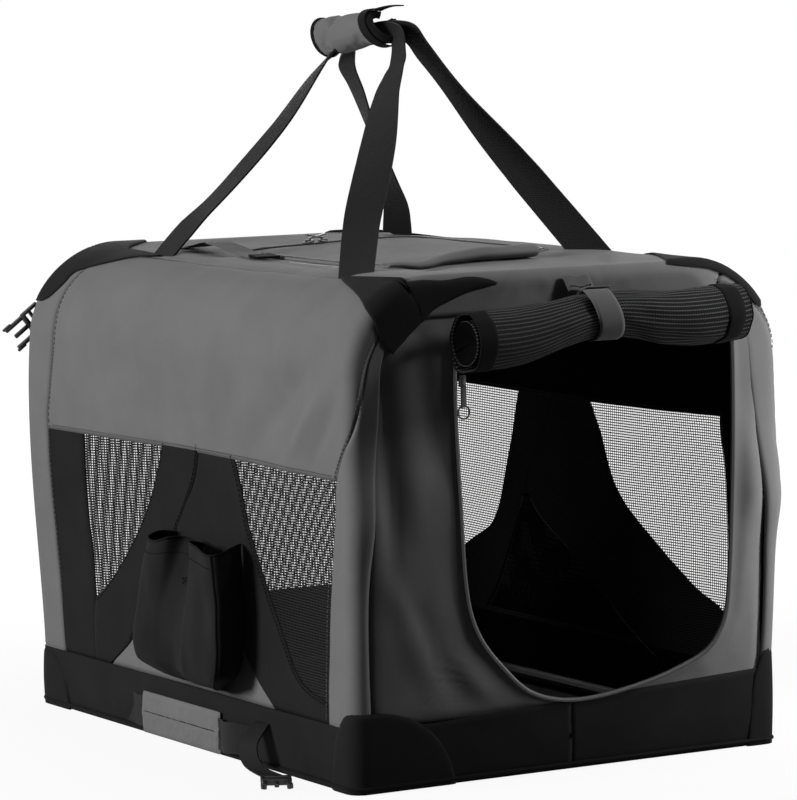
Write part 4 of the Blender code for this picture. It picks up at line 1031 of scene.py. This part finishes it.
def rollUp():
    length = doorRoll["right"] - doorRoll["left"]
    around = math.pi * doorRoll["turns"] * (doorRoll["radius"] + doorRoll["core"])
    heart = rollAxis(doorRoll["heartX"])[0]

    def onRoll(name, bm, finish, wall, replaces=(), out=heart):
        # a piece of the roll, riding the front wall's upper part, with its own copy of the mesh
        piece = addPiece(name, bm, finish, "front_upper", replaces, out, wall)
        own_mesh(piece)
        return piece

    def place(u, v):
        return spiralAt(doorRoll["left"] + length * u, v)

    bm = clothGrid(120, 96, place, (length, around))
    roll = onRoll("doorRollMesh", bm, "roll", 0.0008, ["door_roll"])

    # fabric tapes at the roll's ends: a wide cap on the right, a rim round the hole on the left
    for name, start, stop, inner in (
            ("doorRollCap", doorRoll["right"] - doorRoll["cap"], doorRoll["right"] + 0.001, 0.10),
            ("doorRollRim", doorRoll["left"] - 0.001, doorRoll["left"] + doorRoll["rim"], 0.35)):
        def tape(u, v, start=start, stop=stop, inner=inner):
            x = start + (stop - start) * u
            rounding = 0.010 * max(u - 0.5, 0.0) ** 2 * 4 if inner < 0.2 else 0.0
            return spiralAt(x, inner + (1 - inner) * v, 0.0012 - rounding)

        bm = clothGrid(8, 72, tape, (stop - start, around))
        piece = onRoll(name, bm, "binding", 0.0012)

    # gathered cloth closes the cap; on the left a near-black disc set deep in the hole is painted
    # shade
    for name, end, deep, share, finish in (("doorRollEnd", "right", 0.003, 1.0, "binding"),
                                           ("doorRollShadeDisc", "left", 0.012, 0.72, "shadedLining")):
        def disc(u, v, end=end, deep=deep, share=share):
            centre = rollAxis(doorRoll[end])[0]
            rim = spiralAt(doorRoll[end], 1 - (1 - u) / doorRoll["turns"], 0.0006)
            spot = centre.lerp(rim, v * share)
            spot.x += deep * (1 - v) + 0.0008 * math.sin(18 * math.pi * u) * v * (1 - v)
            return spot

        piece = onRoll(name, clothGrid(72, 10, disc), finish, 0.0010)

    # the tie: a loop round the roll that hangs from a tab sewn to the roof's lip
    def loop(u, v):
        turn = math.radians(112 + doorRoll["tieTurn"] * v)
        centre, narrow = rollAxis(doorRoll["tieX"])
        reach = doorRoll["radius"] * narrow + 0.0036
        lean = 0.014 * smoothShare(v * 2.5) - 0.010
        return centre + Vector((doorRoll["tieWidth"] * (u - 0.5) + lean, reach * math.cos(turn),
                                reach * math.sin(turn)))

    size = (doorRoll["tieWidth"], math.radians(doorRoll["tieTurn"]) * doorRoll["radius"] * 0.82)
    strap = onRoll("doorTieLoop", clothGrid(8, 64, loop, size), "greyTape",
                   0.0014, ["door_tie_strap"], rollAxis(doorRoll["tieX"])[0])

    def tab(u, v):
        return Vector((doorRoll["tieX"] - 0.027 + doorRoll["tab"][0] * u + 0.003 * v,
                       -crate["halfLength"] - 0.0065 - 0.008 * v,
                       0.5135 - 0.016 * v + 0.001 * math.sin(u * 9)))

    piece = addPiece("doorTieTab", clothGrid(8, 8, tab, doorRoll["tab"]), "greyTape", "top",
                     (), middle, 0.0014)
    row = [tab(0.08 + 0.84 * index / 12, 0.72) + Vector((0, -0.0006, 0)) for index in range(13)]
    stitches("doorTieStitches", [row], "top", "binding", 0.004)


rollUp()
print("door rolled up")


# Webbing: each strap is a route of (point, way across) pairs and a list of its widths
def strapPiece(name, route, width, thickness, finish, body, replaces=(), widths=(1, 1),
               steps=60):
    points, ways = [Vector(p) for p, _ in route], [Vector(a) for _, a in route]
    length = sum((b - a).length for a, b in zip(points, points[1:]))
    shares = [(index / (len(widths) - 1), wide) for index, wide in enumerate(widths)]

    def place(u, v):
        across = routeAt(ways, v).normalized()
        return routeAt(points, v) + across * width * alongAt(shares, v) * (u - 0.5)

    bm = clothGrid(6, steps, place, (width, length))
    bm.normal_update()
    bmesh.ops.solidify(bm, geom=bm.faces, thickness=thickness)
    piece = addPiece(name, bm, finish, body, replaces, None, angle=50)
    return piece


carry = {
    "webbing": 0.038, "thick": 0.0022,
    "left": [((-0.190, 0.176, 0.510), (0.10, 1.00, 0.25)),
             ((-0.168, 0.161, 0.541), (0.21, 0.90, 0.38)),
             ((-0.130, 0.126, 0.592), (0.23, 0.90, 0.37)),
             ((-0.080, 0.095, 0.659), (0.28, 0.93, 0.23)),
             ((-0.029, 0.084, 0.727), (0.00, 1.00, -0.06)),
             ((-0.014, 0.030, 0.758), (-0.10, 0.70, -0.50)),
             ((-0.010, -0.030, 0.761), (-0.10, 0.60, -0.70)),
             ((-0.024, -0.061, 0.733), (-0.04, 0.86, -0.50)),
             ((-0.035, -0.070, 0.719), (-0.31, 0.90, -0.32)),
             ((-0.054, -0.085, 0.693), (-0.71, 0.71, -0.03)),
             ((-0.088, -0.126, 0.648), (-0.83, 0.52, 0.17)),
             ((-0.120, -0.161, 0.605), (-0.79, 0.61, 0.09)),
             ((-0.150, -0.193, 0.565), (-0.67, 0.73, -0.15)),
             ((-0.190, -0.246, 0.510), (-0.66, 0.72, -0.20))],
    "right": [((0.158, 0.246, 0.519), (0.57, -0.73, -0.36)),
              ((0.133, 0.207, 0.560), (0.42, -0.83, -0.37)),
              ((0.114, 0.192, 0.590), (0.02, -0.93, -0.37)),
              ((0.088, 0.174, 0.630), (-0.08, -0.93, -0.36)),
              ((0.049, 0.149, 0.691), (-0.14, -0.93, -0.35)),
              ((0.027, 0.134, 0.725), (-0.15, -0.93, -0.33)),
              ((-0.006, 0.040, 0.758), (0.10, -0.70, 0.50)),
              ((0.008, -0.026, 0.761), (0.05, -0.60, 0.70)),
              ((0.021, -0.047, 0.736), (-0.21, -0.88, 0.42)),
              ((0.059, -0.072, 0.676), (0.30, -0.80, 0.52)),
              ((0.095, -0.104, 0.619), (0.41, -0.64, 0.65)),
              ((0.118, -0.128, 0.580), (0.52, -0.56, 0.65)),
              ((0.163, -0.168, 0.508), (0.70, -0.35, 0.63))],
    "widths": [1, 1, 1, 1, 0.92, 0.65, 0.65, 0.92, 1.04, 1.04, 1, 1],
}


def carryLoops():
    # each loop goes up from the roof's seam, gathered through the grip, and down again
    for label in ("left", "right"):
        strapPiece("carryLoop" + label.title(), carry[label], carry["webbing"], carry["thick"],
                   "webbing", "carry_" + label, ["carry_loop_" + label],
                   carry["widths"], 150)


grip = {
    "front": -0.012, "rear": 0.112, "x": -0.011, "z": 0.765, "dip": 0.012,
    "halfWidth": 0.0180, "halfHeight": 0.0165, "droop": 0.0045,  # taller towards the rear
    "mouth": 68, "turn": 318,   # where the sleeve's edge starts and how far it goes round
    "girth": 0.13, "padding": 0.006, "seam": 0.010, "binding": 0.0046,
    "tape": (0.120, 0.015), "flap": (0.024, 0.036), "flapTip": Vector((0.002, -0.036, 0.789)),
}


def paddedGrip():
    # a padded sleeve closed round both loops; it hangs wider at the rear, its flap stands up
    front, rear = grip["front"], grip["rear"]

    def skinAt(u, v, depth=0.0):
        turn = math.radians(grip["mouth"] + grip["turn"] * u)
        tall = grip["halfHeight"] + grip["droop"] * v - depth
        return Vector((grip["x"] + (grip["halfWidth"] - depth) * math.cos(turn),
                       front + (rear - front) * v + (0.018 - 0.010 * v) * math.sin(turn),
                       grip["z"] - grip["dip"] * v + tall * math.sin(turn)))

    bm = clothGrid(44, 44, skinAt, (grip["girth"], rear - front))
    heart = Vector((grip["x"], (front + rear) / 2, grip["z"] - grip["dip"] / 2))
    faceOut(bm, heart)
    bmesh.ops.solidify(bm, geom=bm.faces, thickness=grip["padding"])

    def isHeld(spot):
        return not front + grip["seam"] < spot.y < rear - grip["seam"]

    bm = padded(bm, isHeld, 4.0, 0.0024, 0.0035)
    sleeve = addPiece("gripSleeve", bm, "grey", "carry_left", ["carry_grip"],
                      None)
    for name, v in (("gripBindingFront", 0.0), ("gripBindingRear", 1.0)):
        ring = [skinAt(index / 48, v, 0.003) for index in range(49)]
        tube(name, ring, grip["binding"], "binding", "carry_left")

    # wide binding round the open front end, and the corner of its flap that stands out
    piece = addPiece("gripTape", clothGrid(60, 8, lambda u, v: skinAt(u, 0.12 * v, -0.0040)),
                     "binding", "carry_left", (), heart, 0.0012)

    def flap(u, v):
        base = skinAt(0.16 * u, 0.02, -0.0030)
        bow = Vector((0, 0, 0.002 * math.sin(math.pi * v)))
        return base.lerp(grip["flapTip"], 0.96 * v) + bow

    piece = addPiece("gripFlap", clothGrid(8, 12, flap), "binding", "carry_left",
                     (), heart, 0.0014)


carryLoops()
paddedGrip()


def roundedBlocks(bm, blocks, bevel=0.0006):  # blocks as (size, place) pairs, added to a mesh
    for size, spot in blocks:
        made = bmesh.ops.create_cube(bm, size=1.0)
        bmesh.ops.scale(bm, vec=size, verts=made["verts"])
        bmesh.ops.translate(bm, vec=spot, verts=made["verts"])
    bmesh.ops.bevel(bm, geom=bm.edges, offset=bevel, segments=2, affect="EDGES", profile=0.5,
                    material=-1)
    return bm


def buckle(name, start, along, across, body, replaces):
    # side-release buckle: a frame with two prongs and the slotted bar that the webbing goes round
    along, across = Vector(along).normalized(), Vector(across).normalized()
    turn = Matrix((across, along, along.cross(across).normalized() * -1)).transposed().to_4x4()
    turn.translation = Vector(start)
    blocks = [((0.030, 0.004, 0.006), (0, 0.002, 0)), ((0.030, 0.004, 0.005), (0, 0.013, 0)),
              ((0.030, 0.006, 0.007), (0, 0.022, 0)), ((0.005, 0.020, 0.004), (0, 0.034, 0))]
    for sign in (-1, 1):
        blocks += [((0.004, 0.024, 0.006), (sign * 0.014, 0.012, 0)),
                   ((0.0045, 0.026, 0.006), (sign * 0.0125, 0.036, 0)),
                   ((0.0030, 0.012, 0.0045), (sign * 0.0150, 0.045, 0))]
    bm = roundedBlocks(bmesh.new(), blocks, 0.0012)
    bmesh.ops.transform(bm, matrix=turn, verts=bm.verts)
    addPiece(name, bm, "buckle", body, replaces, None)


closing = {
    "width": 0.025, "thick": 0.0016,
    "behind": 0.026,            # how far the rear one hangs behind the frame's
    "turn": 62, "reach": 0.050,  # the floor one, in degrees from -X towards the front
}


def closingStraps():
    # one strap hangs behind the roof's corner, clear of the rear wall that leans back
    width, thick = closing["width"], closing["thick"]
    lowest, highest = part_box("rear_strap")
    back = lowest.y + closing["behind"]
    knot = Vector((highest.x - 0.012, back - 0.010, highest.z - 0.012))
    tip = Vector((lowest.x + 0.006, back, lowest.z + 0.008))
    down = (tip - knot).normalized()
    across = down.cross(Vector((0, 1, 0))).normalized()
    halfway = (knot + tip) / 2 + Vector((0, 0.002, 0))
    root = knot + Vector((0.024, -0.016, 0.004))  # sewn in under the corner patch
    line = [(spot, across) for spot in (root, knot, halfway, tip)]
    strapPiece("rearStrapWeb", line, width, thick, "webbing", "rear_strap",
               ["rear_strap"], steps=30)
    buckle("rearBuckleBody", tip + Vector((0, 0.004, 0)), down, across, "rear_strap",
           ["rear_buckle"])
    # the other curls out of the base's seam and lies on the floor
    lowest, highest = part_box("floor_strap")
    turn = math.radians(180 + closing["turn"])
    ahead = Vector((math.cos(turn), math.sin(turn), 0))
    flat = Vector((-ahead.y, ahead.x, 0))
    end = Vector((highest.x - 0.004, highest.y - 0.014, 0.0030)) + ahead * closing["reach"]
    route = [((-0.2630, -0.168, 0.050), (0, 1, 0)), ((-0.2700, -0.172, 0.047), (0, 1, 0.1)),
             ((-0.2880, -0.180, 0.032), (-0.2, 1, 0.1)),
             ((-0.2900, -0.192, 0.012), (-0.5, 0.8, 0)), (end - ahead * 0.012, -flat),
             (end, -flat)]
    strapPiece("floorStrapWeb", route, width, thick, "webbing", "base",
               ["floor_strap"], steps=40)
    buckle("floorBuckleBody", end + Vector((0, 0, 0.0015)), ahead, flat, "base",
           ["floor_buckle"])


closingStraps()
print("webbing threaded")


# Bellows pocket: rows of (along, depth) from the rear edge round to the front edge, by height
pocket = {
    "top": [(0.045, 0), (0.048, 0.020), (0.040, 0.040), (0.015, 0.046), (0, 0.040),
            (-0.006, 0.020), (-0.025, 0.014), (-0.045, 0.018), (-0.052, 0.038),
            (-0.085, 0.046), (-0.122, 0.046), (-0.118, 0.022), (-0.100, 0)],
    "middle": [(0.062, 0), (0.064, 0.022), (0.058, 0.042), (0.035, 0.047), (0.012, 0.046),
               (-0.002, 0.042), (-0.025, 0.040), (-0.046, 0.043), (-0.060, 0.047),
               (-0.095, 0.048), (-0.134, 0.046), (-0.128, 0.022), (-0.108, 0)],
    "heights": {"top": 0.225, "middle": 0.150},
    "low": 0.095, "lowShare": 0.96, "bottom": 0.070, "centre": -0.036,
}


def readRow(values, share):  # a list read smoothly at a share of its length
    return alongAt(list(enumerate(values)), share * (len(values) - 1))


def sidePocket():
    rows = [(pocket["heights"][key], pocket[key]) for key in ("top", "middle")]
    centre = pocket["centre"]
    for z, wide, deep in ((pocket["low"], pocket["lowShare"], 0.92), (0.080, 0.68, 0.62),
                          (0.074, 0.50, 0.34), (pocket["bottom"], 0.36, 0.03)):
        rows.append((z, [(centre + (along - centre) * wide, depth * deep)
                         for along, depth in pocket["middle"]]))

    def place(u, v):
        z = pocket["bottom"] + (rows[0][0] - pocket["bottom"]) * v ** 1.4
        along = alongAt([(height, readRow([p[0] for p in row], u)) for height, row in rows], z)
        depth = alongAt([(height, readRow([p[1] for p in row], u)) for height, row in rows], z)
        full = smoothShare(depth / 0.02)
        depth += full * 0.003 * noise.noise(Vector((along * 30, z * 22, 7.0)))
        depth -= full * 0.003 * math.exp(-((along + 0.015) / 0.008) ** 2
                                         - ((z - 0.19) / 0.012) ** 2)
        wallX = shellPoint(z, min(max(along, -0.2), 0.2), 0.0014).x
        return Vector((wallX - max(depth, 0.0004), along,
                       z + 0.003 * math.sin(u * 21) * smoothShare((v - 0.85) / 0.15)))

    bm = clothGrid(110, 48, place, (0.30, 0.16))
    piece = addPiece("pocketCloth", bm, "black", "base", ["side_pocket"],
                     Vector((-0.22, -0.036, 0.14)), 0.0012, "shadedLining", folds=True)
    rim = [place(index / 110, 1.0) for index in range(111)]
    seam = [place(0.832, 0.04 + 0.96 * index / 30) + Vector((-0.0006, 0, 0))
            for index in range(31)]
    bm = tubeMesh(seam, 0.0011, bm=tubeMesh(rim, 0.0013))
    addPiece("pocketBinding", bm, "binding", "base", (), None, folds=True)
    hem = [place(0.02 + 0.96 * index / 60, 0.93) + Vector((-0.0004, 0, 0)) for index in range(61)]
    tack = [place(0.50, 0.80 + 0.02 * math.sin(index)) + Vector((-0.0014, 0.006 - index * 0.001, 0))
            for index in range(13)]
    stitches("pocketStitches", [hem, tack], "base", folds=True)


sidePocket()


# Grab handle: a padded grey sleeve on webbing that bows out in front of it
handle = {"sleeveFront": -0.080, "sleeveRear": 0.095, "low": 0.001, "high": 0.049,
          "thick": 0.0065, "seat": 0.0012, "edge": 0.004, "seam": 0.002,
          "webWidth": 0.034, "webThick": 0.0018}


def grabHandle():
    front, rear = handle["sleeveFront"], handle["sleeveRear"]
    middleZ = (handle["low"] + handle["high"]) / 2
    half = (handle["high"] - handle["low"]) / 2
    x = -crate["halfWidth"] - handle["seat"]

    def place(u, v):
        turn = 2 * math.pi * u
        bulge = math.copysign(abs(math.cos(turn)) ** 0.6, math.cos(turn))
        return Vector((x - 0.0044 - handle["thick"] / 2 * bulge, front + (rear - front) * v,
                       middleZ + half * math.sin(turn)))

    bm = clothGrid(40, 40, place, closed=True)
    bmesh.ops.holes_fill(bm, edges=bm.edges, sides=0)

    def isHeld(spot):  # sewn down at the ends, along the middle seam and at both edges
        fromEnd = min(abs(spot.y - front), abs(spot.y - rear))
        fromSeam = abs(spot.z - middleZ)
        return fromEnd < handle["edge"] or fromSeam < handle["seam"] \
            or fromSeam > half - handle["edge"]

    bm = padded(bm, isHeld, 2.0, 0.0006, 0.0032)
    sleeve = addPiece("handleSleeve", bm, "grey", "side_handle",
                      ["side_handle_sleeve"], None)
    seam = [Vector((x - 0.0046 - handle["thick"] / 2, front + (rear - front) * share / 20,
                    middleZ + 0.002)) for share in range(1, 20)]
    stitches("handleStitches", [seam], "side_handle", "binding", 0.004)
    up = Vector((0, 0, 1))
    route = [((x, -0.166, middleZ), up), ((x - 0.0005, -0.148, middleZ), up),
             ((x - 0.011, -0.122, middleZ + 0.002), up), ((x - 0.012, -0.100, middleZ), up),
             ((x - 0.006, -0.078, middleZ), up), ((x - 0.004, 0.0, middleZ), up),
             ((x - 0.004, 0.095, middleZ), up), ((x - 0.001, 0.125, middleZ), up),
             ((x, 0.149, middleZ), up)]
    strapPiece("handleWeb", route, handle["webWidth"], handle["webThick"], "webbing",
               "side_handle", ["side_handle_webbing"], steps=90)


grabHandle()
print("pocket and grab handle sewn on")


# The hatch's rolled cover, its tie and the zips
hatchBundle = {"start": Vector((-0.115, -0.180, 0)), "stop": Vector((0.050, -0.204, 0)),
               "turns": 2.0, "flat": (0.165, 0.125)}


def hatchRoll():
    def place(u, v):
        spot = hatchBundle["start"].lerp(hatchBundle["stop"], u)
        turn = 2 * math.pi * hatchBundle["turns"] * v
        swell = 0.45 + 0.55 * smoothShare(u * 1.4)
        reach = (0.004 + 0.010 * v) * swell
        reach += noise.noise(Vector((u * 6, turn * 0.3, 3.0))) * 0.0020
        return roofSpot(spot.x, spot.y) + Vector((0, reach * math.cos(turn) * 1.7,
                                                  reach * math.sin(turn) * 0.6 + 0.0090 * swell))

    bm = clothGrid(50, 70, place, hatchBundle["flat"])
    roll = addPiece("hatchCoverRoll", bm, "grey", "top", ["hatch_cover_roll"],
                    Vector((0, -0.19, 0.534)), 0.0014)


def roofTie():
    lowest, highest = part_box("roof_tie_strap")
    x = (lowest.x + highest.x) / 2
    across = Vector((1, 0, 0))
    route = []
    for index in range(7):
        y = highest.y + (lowest.y - highest.y) * index / 6
        hump = 0.010 * math.sin(math.pi * min(max((index / 6 - 0.25) / 0.6, 0), 1))
        route.append((roofSpot(x, y, 0.0022 + hump), across))
    strapPiece("roofTieWeb", route, 0.028, 0.0014, "greyTape", "top",
               ["roof_tie_strap"], steps=50)
    tip = [(roofSpot(x, lowest.y + 0.002, 0.0040), across),
           (roofSpot(x, lowest.y - 0.018, 0.0030), across)]
    strapPiece("roofTieHook", tip, 0.028, 0.0024, "binding", "top", steps=6)


def roofSliders():
    # cast sliders nose to nose, each with its bridge and a tab that lies along the zip
    for label, side in (("left", -1), ("right", 1)):
        lowest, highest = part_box("hatch_zip_slider_" + label)
        bm = roundedBlocks(bmesh.new(), [((0.008, 0.012, 0.0026), (0, 0, 0)),
                                         ((0.003, 0.008, 0.0022), (0, 0, 0.0022)),
                                         ((0.0050, 0.022, 0.0016), (0, -0.013, 0.0036))])
        turn = Matrix.Rotation(math.radians(12 * side), 4, "Y") \
            @ Matrix.Rotation(math.radians(-90 * side), 4, "Z")
        turn.translation = (side * 0.010, (lowest.y + highest.y) / 2, lowest.z + 0.0032)
        bmesh.ops.transform(bm, matrix=turn, verts=bm.verts)
        addPiece("hatchSlider" + label.title(), bm, "zinc", "hatch_slider_" + label,
                 ["hatch_zip_slider_" + label], None)


def doorSlider():
    shift = 0.0215  # the door's drawn edge lies this far to the right of the frame's slider
    lowest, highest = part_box("door_zip_slider")
    x, y, z = (lowest + highest) / 2 + Vector((shift, 0, 0.006))
    bm = roundedBlocks(bmesh.new(), [((0.008, 0.0026, 0.012), (x, y, z)),
                                     ((0.003, 0.002, 0.008), (x, y - 0.0018, z))])
    addPiece("doorSliderBody", bm, "coil", "door_slider", ["door_zip_slider"], None)
    lowest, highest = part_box("door_zip_pull")
    x, y = (lowest.x + highest.x) / 2 + shift, (lowest.y + highest.y) / 2
    bm = roundedBlocks(bmesh.new(), [((0.0066, 0.0022, 0.022), (x, y, highest.z - 0.010))],
                       0.0008)
    ringZ = lowest.z + 0.0062
    points = [Vector((x + 0.0068 * math.cos(t * math.pi / 12), y,
                      ringZ + 0.0068 * math.sin(t * math.pi / 12))) for t in range(24)]
    addPiece("doorPullRing", tubeMesh(points, 0.0009, True, bm=bm), "coil", "door_pull",
             ["door_zip_pull"], None)


hatchRoll()
roofTie()
roofSliders()
doorSlider()
print("zips fitted")


# The frame's own nodes: tubes, joints and board
for name, node in nodes.items():
    if node.hide_render:
        continue
    finish = "buckle"
    if name.startswith(("leg_", "hoop_", "base_bar_", "roof_rail_")):
        finish = "steel"
    if name == "floor_board":
        finish = "board"
    node.data.materials.clear()
    node.data.materials.append(cloth[finish])

# Floor, light and camera
room = {"floorHalf": 6.0, "floor": "#4c4c4c", "ambient": 0.02, "clear": (0.50, 1.3),
        "shade": 0.92}


def seenDirectly(tree):  # 1 for the rays that see the room white, 0 for those that light it
    path = addNode(tree, "ShaderNodeLightPath")
    seen = path.outputs["Is Camera Ray"]
    for ray in ("Is Glossy Ray", "Is Transmission Ray"):
        seen = addNode(tree, "ShaderNodeMath", {"operation": "MAXIMUM"},
                       {0: seen, 1: path.outputs[ray]}).outputs[0]
    return seen


def floorFinish():
    # a pale floor: near the crate it keeps the shadow, further out the camera sees it white
    material, tree, shader = newMaterial("paleFloor", 0.9)
    tree.nodes.remove(shader)
    seen = seenDirectly(tree)
    place = addNode(tree, "ShaderNodeTexCoord").outputs["Object"]
    grain = addNode(tree, "ShaderNodeTexNoise", {"Scale": 40.0, "Detail": 3.0},
                    {"Vector": place}).outputs["Fac"]
    tone = addNode(tree, "ShaderNodeMapRange", {"To Min": 0.96, "To Max": 1.04},
                   {"Value": grain}).outputs["Result"]
    colour = addNode(tree, "ShaderNodeHueSaturation", {"Color": linear(room["floor"])},
                     {"Value": tone}).outputs["Color"]
    away = addNode(tree, "ShaderNodeVectorMath", {"operation": "LENGTH"},
                   {0: place}).outputs["Value"]
    strength = addNode(tree, "ShaderNodeMapRange",
                       {"From Min": room["clear"][0], "From Max": room["clear"][1],
                        "To Min": room["shade"], "To Max": 1.0}, {"Value": away}).outputs["Result"]
    dull = addNode(tree, "ShaderNodeBsdfDiffuse", None, {"Color": colour})
    glow = addNode(tree, "ShaderNodeEmission", {"Color": (1, 1, 1, 1)}, {"Strength": strength})
    bright = addNode(tree, "ShaderNodeAddShader", None, {0: dull.outputs[0], 1: glow.outputs[0]})
    mix = addNode(tree, "ShaderNodeMixShader", None,
                  {0: seen, 1: dull.outputs[0], 2: bright.outputs[0]})
    tree.links.new(mix.outputs[0], tree.nodes["Material Output"].inputs["Surface"])
    return material


def stageFloor():
    bm = bmesh.new()
    bmesh.ops.create_grid(bm, x_segments=1, y_segments=1, size=room["floorHalf"])
    bmesh.ops.translate(bm, vec=(0, 0, -0.0006), verts=bm.verts)
    mesh = bpy.data.meshes.new("floor")
    bm.to_mesh(mesh)
    bm.free()
    mesh.materials.append(floorFinish())
    floor = bpy.data.objects.new("floor", mesh)
    bpy.context.scene.collection.objects.link(floor)


def softRoom():
    world = bpy.data.worlds.new("softRoom")
    bpy.context.scene.world = world
    world.use_nodes = True
    tree = world.node_tree
    tree.nodes.clear()
    seen = seenDirectly(tree)
    strength = addNode(tree, "ShaderNodeMapRange", {"To Min": room["ambient"], "To Max": 1.0},
                       {"Value": seen}).outputs["Result"]
    glow = addNode(tree, "ShaderNodeBackground", {"Color": (1, 1, 1, 1)}, {"Strength": strength})
    addNode(tree, "ShaderNodeOutputWorld", None, {"Surface": glow.outputs[0]})


def lamp(name, spot, target, size, power):
    data = bpy.data.lights.new(name, "AREA")
    data.shape, data.size, data.energy = "SQUARE", size, power
    light = bpy.data.objects.new(name, data)
    light.location = spot
    light.rotation_euler = (Vector(target) - Vector(spot)).to_track_quat("-Z", "Y").to_euler()
    light.visible_camera = False
    bpy.context.scene.collection.objects.link(light)


stageFloor()
softRoom()
lamp("leftLamp", (-3.4, 0.2, 1.3), (-0.2, 0, 0.25), 1.0, 106)
lamp("rightLamp", (0.60, -0.64, 0.30), (0.66, -0.2, 0.26), 0.20, 5.0)
lamp("lipLamp", (0.38, -0.66, 0.84), (0.20, -0.33, 0.48), 0.16, 2.2)
lamp("topLamp", (0.6, -0.3, 3.2), (0, 0, 0.4), 1.2, 12)
lamp("rearLamp", (1.6, 3.4, 1.1), (0, 0.2, 0.25), 1.8, 38)

shot = {"yaw": -31.11, "pitch": 5.70, "roll": -0.81, "distance": 4.776,
        "target": Vector((0.0083, 0.0, 0.3564)), "focalPixels": 4348.0,
        "frameHeight": 800}
yaw, pitch, roll = (math.radians(shot[k]) for k in ("yaw", "pitch", "roll"))
back = Vector((math.sin(yaw) * math.cos(pitch), -math.cos(yaw) * math.cos(pitch),
               math.sin(pitch)))
right = Vector((math.cos(yaw), math.sin(yaw), 0))
up = back.cross(right)
right, up = (right * math.cos(roll) + up * math.sin(roll),
             up * math.cos(roll) - right * math.sin(roll))
cameraData = bpy.data.cameras.new("photoCamera")
cameraData.sensor_width = 36.0
cameraData.sensor_fit = "AUTO"
cameraData.lens = shot["focalPixels"] / shot["frameHeight"] * cameraData.sensor_width
camera = bpy.data.objects.new("photoCamera", cameraData)
camera.matrix_world = Matrix.Translation(shot["target"] + back * shot["distance"]) \
    @ Matrix((right, up, back)).transposed().to_4x4()
bpy.context.scene.collection.objects.link(camera)
bpy.context.scene.camera = camera
bpy.context.scene.view_settings.view_transform = "Standard"

print("scene ready")
